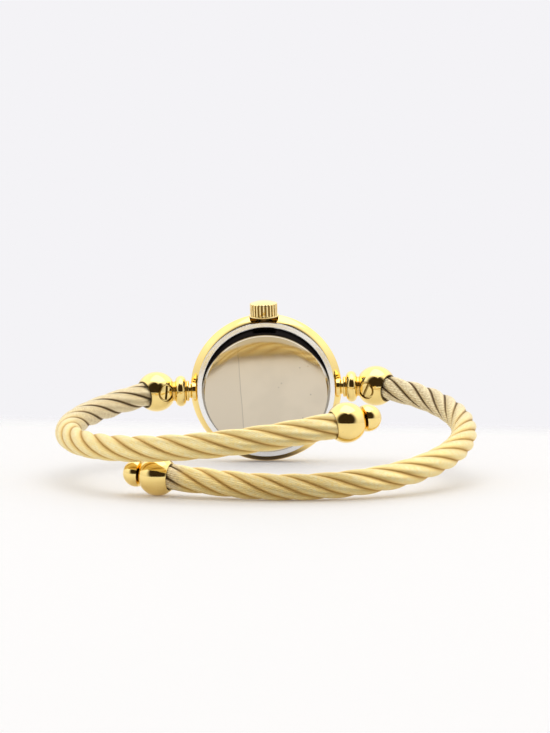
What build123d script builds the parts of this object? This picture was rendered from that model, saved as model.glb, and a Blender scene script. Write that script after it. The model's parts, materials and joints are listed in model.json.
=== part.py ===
"""Bangle watch: a small round quartz watch on two sprung cable arms that bypass each other.

The watch stands as it does on a table: on the lower edge of its case and on the front of
its lower arm, crown up, caseback towards -Y. The head has a frame of its own, in which x
runs towards the crown (3 o'clock), y towards 12 o'clock and z towards the dial. Each arm
lies in a plane of its own through the middle of its ball socket.
"""

import os
from math import asin, ceil, cos, degrees, radians, sin, sqrt

from build123d import *

os.makedirs("parts", exist_ok=True)

# Fits and cuts
running_fit = 0.03
seat_fit = 0.02
overrun = 1.0

# Stance of the head
lean_angle = 8.6
roll_angle = 1.64

# Case middle, heights from the middle of the head towards the dial
case_radius = 12.5
girdle_height = 0.5
case_back_step = 1.1
case_back_radius = case_radius - case_back_step
case_back_height = -0.9
case_front_step = 0.2
case_front_radius = case_radius - case_front_step
case_front_height = 1.3
case_wall = 2.55
case_bore_radius = case_radius - case_wall
case_bulge = 0.12
back_rim_width = 1.1
back_bore_radius = case_back_radius - back_rim_width
back_bore_top = -0.1

# Bezel and crystal
bezel_front_height = 2.9
bezel_band = 0.25
bezel_slope_width = 1.1
bezel_top_radius = case_front_radius - bezel_slope_width
bezel_bulge = 0.16
bezel_neck_step = 1.4
bezel_neck_radius = case_front_radius - bezel_neck_step
bezel_neck_height = 1.0
bezel_neck_wall = 0.65
crystal_radius = bezel_neck_radius - bezel_neck_wall
crystal_shelf_width = 0.75
rehaut_radius = crystal_radius - crystal_shelf_width
crystal_shelf_height = 2.1
crystal_thickness = 1.1
crystal_chamfer = 0.3
crystal_gasket_wall = 0.18

# Caseback
back_plate_height = -3.0
back_rim_face = 0.8
back_bevel_radius = case_back_radius - back_rim_face
back_bevel_width = 0.5
back_plate_radius = back_bevel_radius - back_bevel_width
back_rim_thickness = 0.2
back_wall = 0.4
back_edge_break = 0.08
back_lip_height = -0.15
back_lip_wall = 0.5
back_gasket_width = 0.28
back_gasket_radius = back_bore_radius + back_gasket_width
back_gasket_height = 0.18
back_notch_width = 1.0

# Dial and hands
dial_gap = 0.1
dial_radius = case_bore_radius - dial_gap
dial_thickness = 0.3
dial_foot_radius = 0.35
dial_foot_length = 0.4
dial_foot_reach = 6.6
marker_inset = 1.75
marker_reach = dial_radius - marker_inset
marker_length = 1.5
marker_width = 0.35
marker_thickness = 0.2
marker_count = 12
hand_thickness = 0.12
hour_hand_gap = 0.3
minute_hand_gap = 0.3
hour_hand_length = 4.9
minute_hand_length = 7.4
hour_hand_width = 0.75
minute_hand_width = 0.6
hand_tail_length = 1.6
hand_boss_radius = 0.8
hour_hand_angle = 145.0
minute_hand_angle = 30.0

# Movement plate, bridge and holder
plate_radius = 7.65
plate_back = 0.2
plate_front = 0.65
recess_depth = 0.3
holder_gap = 0.07
holder_back = -2.45
holder_slot_wall = 0.4
bridge_front = -1.15
bridge_thickness = 0.2
post_radius = 0.38
bridge_post_places = ((-5.9, 0.9), (1.9, 2.3))
bridge_edge_outset = 0.6
screw_head_radius = 0.4
screw_head_height = 0.12
screw_shank_length = 0.8
screw_shank_radius = 0.18
screw_slot_width = 0.12

# Wheels: the train that the rotor drives, and the motion work under the dial
train_module = 0.08
motion_module = 0.1
wheel_thickness = 0.1
pinion_overlap = 0.05
arbor_radius = 0.12
centre_arbor_radius = 0.2
tooth_addendum_share = 0.8
tooth_dedendum_share = 1.15
tooth_root_share = 0.55
tooth_tip_share = 0.2
centre_teeth = 60
third_pinion_teeth = 10
third_teeth = 45
intermediate_pinion_teeth = 9
intermediate_teeth = 24
rotor_pinion_teeth = 8
cannon_teeth = 10
minute_wheel_teeth = 30
minute_pinion_teeth = 8
hour_wheel_teeth = 32
centre_wheel_height = -0.02
third_wheel_height = -0.3
intermediate_wheel_height = -0.54
third_angle = 135.5
intermediate_angle = 193.7
rotor_angle = 120.0
minute_wheel_height = 0.38
hour_wheel_height = 0.51
cannon_wall = 0.1
hour_pipe_wall = 0.12

# Rotor, stator and coil
rotor_magnet_radius = 0.6
rotor_magnet_back = -1.05
rotor_magnet_length = 0.4
stator_back = -0.95
stator_thickness = 0.2
stator_hole_radius = 0.75
stator_ring_wall = 0.3
stator_strip_width = 0.7
core_thickness = 0.2
core_width = 0.7
core_length = 9.6
coil_place = 5.3
coil_length = 7.0
coil_radius = 0.8
coil_end_room = 0.1

# Battery and circuit
battery_radius = 3.4
battery_thickness = 2.1
battery_place = (-0.6, -4.05)
battery_front = -0.2
clamp_thickness = 0.12
clamp_end_radius = 0.6
clamp_middle_radius = 1.3
clamp_angles = (217.0, 318.0)
battery_edge_break = 0.15
circuit_thickness = 0.2
circuit_back = -1.85
circuit_inner = 2.9
circuit_half_width = 4.0
circuit_edge_gap = 0.4
circuit_post_place = (5.0, 2.7)
chip_side = 1.4
chip_thickness = 0.4
chip_place = (3.8, 1.6)
quartz_radius = 0.55
quartz_length = 2.8
quartz_place = (5.3, -2.45)

# Stem, crown and setting work, all on one line at the height of the stem
stem_height = -0.2
stem_radius = 0.35
stem_inner_end = 3.0
stem_groove_place = 6.4
stem_groove_width = 0.35
stem_groove_depth = 0.12
clutch_radius = 0.6
clutch_length = 1.3
clutch_place = 4.35
clutch_teeth = 12
clutch_tooth_depth = 0.14
pull_plate_thickness = 0.25
pull_plate_width = 1.5
pull_plate_tail = 0.9
pull_plate_head = 0.35
clutch_room = 0.1
crown_pull = 0.6
crown_seat_depth = 0.3
crown_seat = case_radius - crown_seat_depth
tube_radius = 0.55
tube_wall = 0.15
tube_inner_length = 1.5
tube_inner_end = crown_seat - tube_inner_length
tube_outer_length = 1.1
tube_outer_end = crown_seat + tube_outer_length
crown_gap = 0.1
crown_flange_radius = 2.5
crown_flange_height = 0.25
crown_radius = 2.25
crown_height = 1.9
crown_dome = 0.45
crown_flutes = 24
crown_flute_depth = 0.16
crown_flute_share = 0.5
crown_cavity_radius = 1.3
crown_cavity_depth = 1.15
crown_gasket_height = 0.35
crown_gasket_inset = 0.05
crown_stem_hole = 0.75
stem_end_gap = 0.05

# Turned stems between case and sockets, distances from the middle of the watch
flare_depth = 0.9
flare_start = case_radius - flare_depth
flare_length = 0.55
flare_end = flare_start + flare_length
flare_radius = 1.48
neck_length = 0.55
neck_place = flare_end + neck_length
neck_radius = 1.22
bead_distance = 1.4
bead_place = neck_place + bead_distance
bead_radius = 2.55
bead_width = 1.8
collar_foot_radius = 1.5
ridge_gap_radius = 1.55
stem_spigot_radius = 0.5
stem_spigot_length = 1.1

# Ball sockets
ball_distance = 4.05
ball_place = bead_place + ball_distance
ball_radius = 3.3
ball_flat = 2.7
mouth_offset = 2.45
bore_bottom = -0.5
cable_radius = 2.02
bore_fit = 0.04
ball_spigot_length = 0.8
recess_radius = 1.45
recess_floor = 2.5
screw_radius = 1.15
screw_height = 0.5
screw_shank = 0.55
screw_slot = 0.45
screw_slot_depth = 0.3
slot_turn_left = -15.0
slot_turn_right = -25.0

# Cable arms
quarter_turn = 90
full_turn = 360
cable_heading = 35.0
first_bend_radius = 26.5
lower_bend_radius = 27.3
upper_bend_radius = 30.0
lower_bend_past_front = 20.0
upper_bend_past_front = 20.5
lower_straight = 9.4
upper_straight = 1.2
lower_arm_fall = -0.4
upper_arm_fall = 8.25
upper_arm_drop = 5.06
core_radius = 0.7
plug_radius = 1.7
cable_gap = 0.02
strand_count = 5
strand_radius = 1.05
strand_lay = 23.0
sections_per_lay = 18

# Finials on the free ends
finial_radius = 3.05
finial_mouth_offset = 2.15
finial_bore_depth = 1.2
finial_flat = 2.8
tip_radius = 2.05
tip_place = 3.5
tip_pin_radius = 0.5
tip_pin_length = 1.0

# Where the head stands: on the widest line of its case, so that the whole watch is
# centred on the origin, and where the two sockets then are
head_rise = case_radius * cos(radians(lean_angle)) - girdle_height * sin(radians(lean_angle))
ball_rise = ball_place * sin(radians(roll_angle))
lower_ball_rise = head_rise + ball_rise + stem_height * sin(radians(lean_angle))
bend_forward = first_bend_radius * cos(radians(cable_heading))
bend_outward = first_bend_radius * (1 - sin(radians(cable_heading)))
mouth_forward = mouth_offset * sin(radians(cable_heading))
mouth_outward = mouth_offset * cos(radians(cable_heading))
lower_reach = mouth_forward + bend_forward + lower_bend_radius
upper_reach = mouth_forward + bend_forward + upper_bend_radius
lower_front_inward = lower_bend_radius - mouth_outward - bend_outward
lower_front_fall = lower_ball_rise - cable_radius
lower_front_fall += lower_front_inward * sin(radians(lower_arm_fall))
lower_arm_drop = degrees(asin(lower_front_fall / lower_reach))
arms_forward = upper_reach * cos(radians(upper_arm_drop)) + cable_radius
crystal_backward = (crystal_shelf_height + crystal_thickness) * cos(radians(lean_angle))
crystal_backward += (crystal_radius - crystal_chamfer) * sin(radians(lean_angle))
head_back = (arms_forward - crystal_backward) / 2

dial_way = Vector(0, cos(radians(lean_angle)), sin(radians(lean_angle)))
level_crown_way = Vector(0, -sin(radians(lean_angle)), cos(radians(lean_angle)))
crown_way = level_crown_way.rotate(Axis((0, 0, 0), dial_way), -roll_angle)
head = Plane(origin=(0, head_back, head_rise), x_dir=crown_way, z_dir=dial_way)
head_axis = Axis(head.origin, head.z_dir)


def head_level(height):
    """Plane square to the head's axis at a height, with x towards the crown."""
    return head.offset(height)


def head_section():
    """Plane through the head's axis, with x outwards and y towards the dial."""
    return Plane(origin=head.origin, x_dir=head.x_dir, z_dir=-head.y_dir)


def stem_line_plane(distance):
    """Plane square to the crown's stem at a distance from the head's axis."""
    origin = head.from_local_coords((distance, 0, stem_height))
    return Plane(origin=origin, x_dir=head.y_dir, z_dir=head.x_dir)


def stem_line_section():
    """Plane through the crown's stem, with x along the stem and y outwards from it."""
    origin = head.from_local_coords((0, 0, stem_height))
    return Plane(origin=origin, x_dir=head.x_dir, z_dir=-head.y_dir)


stem_line = Axis(stem_line_section().origin, head.x_dir)


def gear_place(middle, direction, distance):
    """Point in the head's plane at a distance from another, in a direction in degrees."""
    turn = radians(direction)
    return (middle[0] + distance * cos(turn), middle[1] + distance * sin(turn))


def pitch_radius(module, teeth):
    """Pitch radius of a gear."""
    return module * teeth / 2


def finish(builder, name):
    """Label a finished piece and write it."""
    builder.part.label = name
    export_step(builder.part, f"parts/{name}.step")


def gear_outline(module, teeth, turn, middle):
    """Outline of a gear, one tooth on the line at the given turn from its middle."""
    pitch = pitch_radius(module, teeth)
    root = pitch - module * tooth_dedendum_share
    tip = pitch + module * tooth_addendum_share
    tooth_foot = root * cos(radians(180 / teeth))
    step = 2 * pitch * sin(radians(180 / teeth))
    with BuildSketch() as outline:
        Circle(root)
        with BuildLine() as tooth:
            Polyline(
                (tooth_foot, -step * tooth_root_share / 2),
                (tip, -step * tooth_tip_share / 2),
                (tip, step * tooth_tip_share / 2),
                (tooth_foot, step * tooth_root_share / 2),
                close=True,
            )
        with PolarLocations(0, teeth, start_angle=turn):
            add(make_face(tooth.line, mode=Mode.PRIVATE))
    return outline.sketch.moved(Location((*middle, 0)))


def gear(module, teeth, turn, middle, height, thickness):
    """Add a toothed wheel to the part being built."""
    with BuildSketch(head_level(height)) as outline:
        add(gear_outline(module, teeth, turn, middle))
    extrude(outline.sketch, amount=thickness)


def disc(radius, middle, height, thickness, mode=Mode.ADD):
    """Add or cut a round disc, square to the head's axis."""
    with BuildSketch(head_level(height)) as outline:
        with Locations(middle):
            Circle(radius)
    extrude(outline.sketch, amount=thickness, mode=mode)


# Case middle: a ring with its widest line near the front, bored for tube and stems
bezel_fit_radius = bezel_neck_radius + seat_fit
with BuildPart() as case_middle:
    with BuildSketch(head_section()):
        with BuildLine():
            Polyline(
                (case_back_radius, case_back_height),
                (back_gasket_radius + seat_fit, case_back_height),
                (back_gasket_radius + seat_fit, case_back_height + back_gasket_height),
                (back_bore_radius, case_back_height + back_gasket_height),
                (back_bore_radius, back_bore_top),
                (case_bore_radius, back_bore_top),
                (case_bore_radius, bezel_neck_height),
                (bezel_fit_radius, bezel_neck_height),
                (bezel_fit_radius, case_front_height),
                (case_front_radius, case_front_height),
                (case_radius, girdle_height),
            )
            SagittaArc(
                (case_radius, girdle_height), (case_back_radius, case_back_height), -case_bulge
            )
        make_face()
    revolve(axis=head_axis)
    with BuildSketch(stem_line_plane(crown_seat)):
        Rectangle(2 * case_radius, 2 * case_radius)
    extrude(amount=overrun, mode=Mode.SUBTRACT)
    with BuildSketch(stem_line_plane(plate_radius)):
        Circle(tube_radius + seat_fit)
    extrude(amount=crown_seat, mode=Mode.SUBTRACT)
    for side in (1, -1):
        spigot_end = side * (flare_start - stem_spigot_length - seat_fit)
        spigot_origin = head.from_local_coords((0, spigot_end, stem_height))
        with BuildSketch(Plane(origin=spigot_origin, z_dir=side * head.y_dir)):
            Circle(stem_spigot_radius + seat_fit)
        extrude(amount=stem_spigot_length + overrun, mode=Mode.SUBTRACT)
finish(case_middle, "case_middle")

# Bezel: a domed ring whose neck sits in the case middle and whose shelf carries the crystal
bezel_seat_radius = crystal_radius + crystal_gasket_wall + seat_fit
bezel_band_top = case_front_height + bezel_band
with BuildPart() as bezel:
    with BuildSketch(head_section()):
        with BuildLine():
            Polyline(
                (bezel_top_radius, bezel_front_height),
                (bezel_seat_radius, bezel_front_height),
                (bezel_seat_radius, crystal_shelf_height),
                (rehaut_radius, crystal_shelf_height),
                (rehaut_radius, bezel_neck_height),
                (bezel_neck_radius, bezel_neck_height),
                (bezel_neck_radius, case_front_height),
                (case_front_radius, case_front_height),
                (case_front_radius, bezel_band_top),
            )
            SagittaArc(
                (case_front_radius, bezel_band_top),
                (bezel_top_radius, bezel_front_height),
                bezel_bulge,
            )
        make_face()
    revolve(axis=head_axis)
    with BuildSketch(stem_line_plane(crown_seat)):
        Rectangle(2 * case_radius, 2 * case_radius)
    extrude(amount=overrun, mode=Mode.SUBTRACT)
finish(bezel, "bezel")

# Crystal and its gasket
with BuildPart() as crystal:
    disc(crystal_radius, (0, 0), crystal_shelf_height, crystal_thickness)
    chamfer(crystal.faces().sort_by(head_axis)[-1].edges(), crystal_chamfer)
finish(crystal, "crystal")

crystal_gasket_height = bezel_front_height - crystal_shelf_height - seat_fit
with BuildPart() as crystal_gasket:
    disc(crystal_radius + crystal_gasket_wall, (0, 0), crystal_shelf_height, crystal_gasket_height)
    disc(crystal_radius, (0, 0), crystal_shelf_height, crystal_gasket_height, Mode.SUBTRACT)
finish(crystal_gasket, "crystal_gasket")

# Caseback: a shallow cup with a flat middle, a bevel, a flat rim and a snap-in lip
back_rim_radius = case_back_radius - seat_fit
back_rim_height = case_back_height - back_rim_thickness
back_lip_radius = back_bore_radius - seat_fit
back_cup_radius = back_lip_radius - back_lip_wall
with BuildPart() as caseback:
    with BuildSketch(head_section()):
        with BuildLine():
            Polyline(
                (0, back_plate_height),
                (back_plate_radius - back_edge_break, back_plate_height),
                (back_plate_radius, back_plate_height + back_edge_break),
                (back_bevel_radius, back_rim_height),
                (back_rim_radius, back_rim_height),
                (back_rim_radius, case_back_height),
                (back_lip_radius, case_back_height),
                (back_lip_radius, back_lip_height),
                (back_cup_radius, back_lip_height),
                (back_cup_radius, back_plate_height + back_wall),
                (0, back_plate_height + back_wall),
                close=True,
            )
        make_face()
    revolve(axis=head_axis)
    with BuildSketch(stem_line_plane(plate_radius)):
        Rectangle(back_notch_width, back_notch_width)
    extrude(amount=back_lip_radius + seat_fit - plate_radius, mode=Mode.SUBTRACT)
finish(caseback, "caseback")

with BuildPart() as caseback_gasket:
    disc(back_gasket_radius, (0, 0), case_back_height, back_gasket_height)
    disc(back_lip_radius, (0, 0), case_back_height, back_gasket_height, Mode.SUBTRACT)
finish(caseback_gasket, "caseback_gasket")

# Places of the wheels
third_place = gear_place(
    (0, 0),
    third_angle,
    pitch_radius(train_module, centre_teeth + third_pinion_teeth),
)
intermediate_place = gear_place(
    third_place,
    intermediate_angle,
    pitch_radius(train_module, third_teeth + intermediate_pinion_teeth),
)
rotor_place = gear_place(
    intermediate_place,
    rotor_angle,
    pitch_radius(train_module, intermediate_teeth + rotor_pinion_teeth),
)
minute_wheel_distance = pitch_radius(motion_module, cannon_teeth + minute_wheel_teeth)
minute_wheel_place = (minute_wheel_distance, 0)

# Posts of the main plate, each with the height of its foot
battery_back = battery_front - battery_thickness
clamp_places = [
    gear_place((0, 0), direction, plate_radius - 2 * screw_head_radius)
    for direction in clamp_angles
]
posts = [(middle, bridge_front) for middle in bridge_post_places]
posts += [(middle, battery_back) for middle in clamp_places]
posts += [(circuit_post_place, circuit_back + circuit_thickness)]

# Main plate: recessed under the dial for the motion work, with holes for the arbors
recess_floor_height = plate_front - recess_depth
cannon_radius = centre_arbor_radius + cannon_wall
hour_pipe_radius = cannon_radius + running_fit + hour_pipe_wall
dial_foot_places = ((0, dial_foot_reach), (0, -dial_foot_reach))
with BuildPart() as main_plate:
    disc(plate_radius, (0, 0), plate_back, plate_front - plate_back)
    for middle, teeth in (((0, 0), hour_wheel_teeth), (minute_wheel_place, minute_wheel_teeth)):
        room = pitch_radius(motion_module, teeth) + 2 * motion_module
        disc(room, middle, recess_floor_height, plate_front - plate_back, Mode.SUBTRACT)
    disc(cannon_radius + running_fit, (0, 0), 0, plate_front, Mode.SUBTRACT)
    for middle in (third_place, intermediate_place, rotor_place):
        disc(arbor_radius + running_fit, middle, 0, plate_front, Mode.SUBTRACT)
    for middle in dial_foot_places:
        disc(dial_foot_radius + seat_fit, middle, 0, plate_front + overrun, Mode.SUBTRACT)
    with BuildSketch(head_level(0)):
        with Locations((clutch_place + crown_pull / 2, 0)):
            Rectangle(
                clutch_length + crown_pull + 2 * clutch_room,
                2 * (clutch_radius + clutch_room),
            )
    extrude(amount=stem_height + clutch_radius + clutch_room, mode=Mode.SUBTRACT)
    with BuildSketch(stem_line_plane(stem_inner_end)):
        Circle(stem_radius + 2 * running_fit)
    extrude(amount=plate_radius, mode=Mode.SUBTRACT)
    for middle, foot in posts:
        disc(post_radius, middle, foot, plate_back - foot)
        disc(screw_shank_radius + seat_fit, middle, foot, screw_shank_length, Mode.SUBTRACT)
finish(main_plate, "main_plate")

# Movement holder: a plastic ring around the movement, open where the stem passes
holder_outer = back_cup_radius - holder_gap
holder_front = plate_front
holder_slot = 2 * (tube_radius + holder_slot_wall)
with BuildPart() as movement_holder:
    disc(holder_outer, (0, 0), holder_back, holder_front - holder_back)
    disc(plate_radius + seat_fit, (0, 0), holder_back, holder_front - holder_back, Mode.SUBTRACT)
    with BuildSketch(stem_line_plane(plate_radius / 2)):
        Rectangle(holder_slot, holder_slot)
    extrude(amount=case_radius, mode=Mode.SUBTRACT)
finish(movement_holder, "movement_holder")

# Train bridge: a plate over the wheels, screwed to two posts of the main plate
wheel_places = (third_place, intermediate_place, rotor_place)
with BuildPart() as train_bridge:
    with BuildSketch(head_level(bridge_front)) as bridge_outline:
        with BuildLine():
            Polyline(
                (-bridge_edge_outset, -bridge_edge_outset / 2),
                (bridge_edge_outset, -bridge_edge_outset / 2),
                (bridge_post_places[1][0] + bridge_edge_outset, bridge_post_places[1][1]),
                (bridge_post_places[1][0], bridge_post_places[1][1] + bridge_edge_outset),
                (rotor_place[0], rotor_place[1] + bridge_edge_outset),
                (bridge_post_places[0][0] - bridge_edge_outset / 2, rotor_place[1]),
                (bridge_post_places[0][0] - bridge_edge_outset, bridge_post_places[0][1]),
                (bridge_post_places[0][0], bridge_post_places[0][1] - bridge_edge_outset),
                close=True,
            )
        make_face()
    extrude(amount=-bridge_thickness)
    disc(centre_arbor_radius + running_fit, (0, 0), bridge_front - bridge_thickness,
         bridge_thickness, Mode.SUBTRACT)
    for middle in wheel_places:
        disc(arbor_radius + running_fit, middle, bridge_front - bridge_thickness,
             bridge_thickness, Mode.SUBTRACT)
    for middle in bridge_post_places:
        disc(screw_shank_radius + seat_fit, middle, bridge_front - bridge_thickness,
             bridge_thickness, Mode.SUBTRACT)
finish(train_bridge, "train_bridge")

# Wheels of the train, each a toothed wheel and a pinion on one arbor
arbor_back = bridge_front - bridge_thickness / 2
arbor_front = recess_floor_height - running_fit
pinion_room = wheel_thickness + 2 * pinion_overlap


def tooth_turn(direction, teeth, other_turn, other_teeth):
    """Turn of a wheel whose gap faces a tooth of the wheel that it meets in a direction.

    The other wheel has a tooth at other_turn, and lies in the opposite direction.
    """
    step = 360 / teeth
    other_step = 360 / other_teeth
    phase = ((direction - other_turn) / other_step) % 1
    return (direction + 180 + (phase + 0.5) * step) % 360


def wheel_and_pinion(teeth, turn, middle, height, pinion_teeth, pinion_turn, pinion_height):
    """Add a wheel, a pinion in another level and the arbor that carries both."""
    gear(train_module, teeth, turn, middle, height, wheel_thickness)
    gear(train_module, pinion_teeth, pinion_turn, middle, pinion_height, pinion_room)
    disc(arbor_radius, middle, arbor_back, arbor_front - arbor_back)


centre_turn = third_angle
third_pinion_turn = tooth_turn(third_angle, third_pinion_teeth, centre_turn, centre_teeth)
third_turn = intermediate_angle
intermediate_pinion_turn = tooth_turn(
    intermediate_angle, intermediate_pinion_teeth, third_turn, third_teeth
)
intermediate_turn = rotor_angle
rotor_turn = tooth_turn(rotor_angle, rotor_pinion_teeth, intermediate_turn, intermediate_teeth)

with BuildPart() as third_wheel:
    wheel_and_pinion(
        third_teeth,
        third_turn,
        third_place,
        third_wheel_height,
        third_pinion_teeth,
        third_pinion_turn,
        centre_wheel_height - pinion_overlap,
    )
finish(third_wheel, "third_wheel")

with BuildPart() as intermediate_wheel:
    wheel_and_pinion(
        intermediate_teeth,
        intermediate_turn,
        intermediate_place,
        intermediate_wheel_height,
        intermediate_pinion_teeth,
        intermediate_pinion_turn,
        third_wheel_height - pinion_overlap,
    )
finish(intermediate_wheel, "intermediate_wheel")

with BuildPart() as rotor:
    gear(
        train_module,
        rotor_pinion_teeth,
        rotor_turn,
        rotor_place,
        intermediate_wheel_height - pinion_overlap,
        pinion_room,
    )
    disc(rotor_magnet_radius, rotor_place, rotor_magnet_back, rotor_magnet_length)
    disc(arbor_radius, rotor_place, arbor_back, arbor_front - arbor_back)
finish(rotor, "rotor")

# Centre wheel on its arbor, which carries cannon pinion and minute hand
dial_back = plate_front
dial_front = dial_back + dial_thickness
hour_hand_height = dial_front + hour_hand_gap
minute_hand_height = hour_hand_height + hand_thickness + minute_hand_gap
centre_arbor_front = minute_hand_height + hand_thickness / 2
with BuildPart() as centre_wheel:
    gear(train_module, centre_teeth, centre_turn, (0, 0), centre_wheel_height, wheel_thickness)
    disc(centre_arbor_radius, (0, 0), arbor_back, centre_arbor_front - arbor_back)
finish(centre_wheel, "centre_wheel")

# Motion work: cannon pinion, minute wheel and hour wheel with the pipe for the hour hand
cannon_back = centre_wheel_height + wheel_thickness
cannon_front = minute_hand_height + hand_thickness
minute_wheel_turn = tooth_turn(0, minute_wheel_teeth, 0, cannon_teeth)
hour_wheel_turn = tooth_turn(180, hour_wheel_teeth, 180, minute_pinion_teeth)
with BuildPart() as cannon_pinion:
    gear(motion_module, cannon_teeth, 0, (0, 0), minute_wheel_height - pinion_overlap / 2,
         wheel_thickness)
    disc(cannon_radius, (0, 0), cannon_back, cannon_front - cannon_back)
    disc(centre_arbor_radius, (0, 0), cannon_back, cannon_front - cannon_back, Mode.SUBTRACT)
finish(cannon_pinion, "cannon_pinion")

minute_stud_radius = arbor_radius
with BuildPart() as minute_wheel:
    gear(motion_module, minute_wheel_teeth, minute_wheel_turn, minute_wheel_place,
         minute_wheel_height, wheel_thickness)
    gear(motion_module, minute_pinion_teeth, 180, minute_wheel_place,
         minute_wheel_height + wheel_thickness, wheel_thickness + pinion_overlap)
    disc(minute_stud_radius + running_fit, minute_wheel_place, minute_wheel_height,
         2 * wheel_thickness + pinion_overlap, Mode.SUBTRACT)
finish(minute_wheel, "minute_wheel")

with BuildPart() as minute_wheel_stud:
    disc(minute_stud_radius, minute_wheel_place, recess_floor_height,
         dial_back - recess_floor_height)
finish(minute_wheel_stud, "minute_wheel_stud")

hour_wheel_bore = cannon_radius + running_fit
with BuildPart() as hour_wheel:
    gear(motion_module, hour_wheel_teeth, hour_wheel_turn, (0, 0), hour_wheel_height,
         wheel_thickness)
    disc(hour_pipe_radius, (0, 0), hour_wheel_height,
         hour_hand_height + hand_thickness - hour_wheel_height)
    disc(hour_wheel_bore, (0, 0), hour_wheel_height,
         hour_hand_height + hand_thickness - hour_wheel_height, Mode.SUBTRACT)
finish(hour_wheel, "hour_wheel")

# Dial on two feet, with one applied marker for each hour
with BuildPart() as dial:
    disc(dial_radius, (0, 0), dial_back, dial_thickness)
    disc(hour_pipe_radius + running_fit, (0, 0), dial_back, dial_thickness, Mode.SUBTRACT)
    for middle in dial_foot_places:
        disc(dial_foot_radius, middle, dial_back - dial_foot_length, dial_foot_length)
finish(dial, "dial")

with BuildPart() as hour_markers:
    with BuildSketch(head_level(dial_front)):
        with PolarLocations(marker_reach, marker_count):
            Rectangle(marker_length, marker_width)
    extrude(amount=marker_thickness)
finish(hour_markers, "hour_markers")


def hand(length, width, boss_bore, height, direction):
    """Add a tapered baton hand with a round boss, pointing in a direction in degrees."""
    with BuildSketch(head_level(height)) as outline:
        with BuildLine(Location((0, 0, 0), (0, 0, direction))):
            Polyline(
                (-hand_tail_length, -width / 2),
                (0, -width / 2),
                (length, -width / 4),
                (length + width / 2, 0),
                (length, width / 4),
                (0, width / 2),
                (-hand_tail_length, width / 2),
                close=True,
            )
        make_face()
        Circle(hand_boss_radius)
        Circle(boss_bore, mode=Mode.SUBTRACT)
    extrude(outline.sketch, amount=hand_thickness)


with BuildPart() as hour_hand:
    hand(hour_hand_length, hour_hand_width, hour_pipe_radius, hour_hand_height,
         hour_hand_angle)
finish(hour_hand, "hour_hand")

with BuildPart() as minute_hand:
    hand(minute_hand_length, minute_hand_width, cannon_radius, minute_hand_height,
         minute_hand_angle)
finish(minute_hand, "minute_hand")

# Stator with its hole around the rotor, coil core and coil
strip_edge = coil_place - coil_radius - coil_end_room
with BuildPart() as stator:
    with BuildSketch(head_level(stator_back)):
        with Locations(rotor_place):
            Circle(stator_hole_radius + stator_ring_wall)
        with BuildLine():
            Polyline(
                (rotor_place[0], strip_edge - stator_strip_width),
                (core_length / 2, strip_edge - stator_strip_width),
                (core_length / 2, coil_place + core_width / 2),
                (core_length / 2 - stator_strip_width, coil_place + core_width / 2),
                (core_length / 2 - stator_strip_width, strip_edge),
                (stator_strip_width - core_length / 2, strip_edge),
                (stator_strip_width - core_length / 2, coil_place + core_width / 2),
                (-core_length / 2, coil_place + core_width / 2),
                (-core_length / 2, rotor_place[1]),
                (rotor_place[0], rotor_place[1]),
                close=True,
            )
        make_face()
        with Locations(rotor_place):
            Circle(stator_hole_radius, mode=Mode.SUBTRACT)
    extrude(amount=stator_thickness)
finish(stator, "stator")

core_back = stator_back - core_thickness
coil_height = core_back + core_thickness / 2
coil_middle = head.from_local_coords((0, coil_place, coil_height))
coil_section = Plane(origin=coil_middle, x_dir=head.y_dir, z_dir=head.x_dir)
with BuildPart() as coil_core:
    with BuildSketch(head_level(core_back)):
        with Locations((0, coil_place)):
            Rectangle(core_length, core_width)
    extrude(amount=core_thickness)
finish(coil_core, "coil_core")

with BuildPart() as coil:
    with BuildSketch(coil_section):
        Circle(coil_radius)
        Rectangle(
            core_width + 2 * seat_fit, core_thickness + 2 * seat_fit, mode=Mode.SUBTRACT
        )
    extrude(amount=coil_length / 2, both=True)
finish(coil, "coil")

# Battery under its clamp, which is screwed to two posts of the main plate
with BuildPart() as battery:
    disc(battery_radius, battery_place, battery_back, battery_thickness)
    chamfer(battery.faces().sort_by(head_axis)[0].edges(), battery_edge_break)
finish(battery, "battery")

clamp_back = battery_back - clamp_thickness
with BuildPart() as battery_clamp:
    with BuildSketch(head_level(clamp_back)):
        with Locations(*clamp_places):
            Circle(clamp_end_radius)
        with Locations(battery_place):
            Circle(clamp_middle_radius)
        make_hull()
        with Locations(*clamp_places):
            Circle(screw_shank_radius + seat_fit, mode=Mode.SUBTRACT)
    extrude(amount=clamp_thickness)
finish(battery_clamp, "battery_clamp")

# Circuit board beside the battery, with its chip and the can of the quartz
circuit_outer = sqrt((plate_radius - circuit_edge_gap) ** 2 - circuit_half_width**2)
circuit_front = circuit_back + circuit_thickness
with BuildPart() as circuit_board:
    with BuildSketch(head_level(circuit_back)):
        with BuildLine():
            Polyline(
                (circuit_outer, -circuit_half_width),
                (circuit_inner, -circuit_half_width),
                (circuit_inner, circuit_half_width),
                (circuit_outer, circuit_half_width),
            )
            ThreePointArc(
                (circuit_outer, circuit_half_width),
                (plate_radius - circuit_edge_gap, 0),
                (circuit_outer, -circuit_half_width),
            )
        make_face()
        with Locations(circuit_post_place):
            Circle(screw_shank_radius + seat_fit, mode=Mode.SUBTRACT)
    extrude(amount=circuit_thickness)
finish(circuit_board, "circuit_board")

with BuildPart() as chip:
    with BuildSketch(head_level(circuit_front)):
        with Locations(chip_place):
            Rectangle(chip_side, chip_side)
    extrude(amount=chip_thickness)
finish(chip, "chip")

quartz_middle = head.from_local_coords((*quartz_place, circuit_front + quartz_radius))
with BuildPart() as quartz_can:
    with BuildSketch(Plane(origin=quartz_middle, x_dir=head.x_dir, z_dir=head.y_dir)):
        Circle(quartz_radius)
    extrude(amount=quartz_length / 2, both=True)
finish(quartz_can, "quartz_can")

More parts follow.
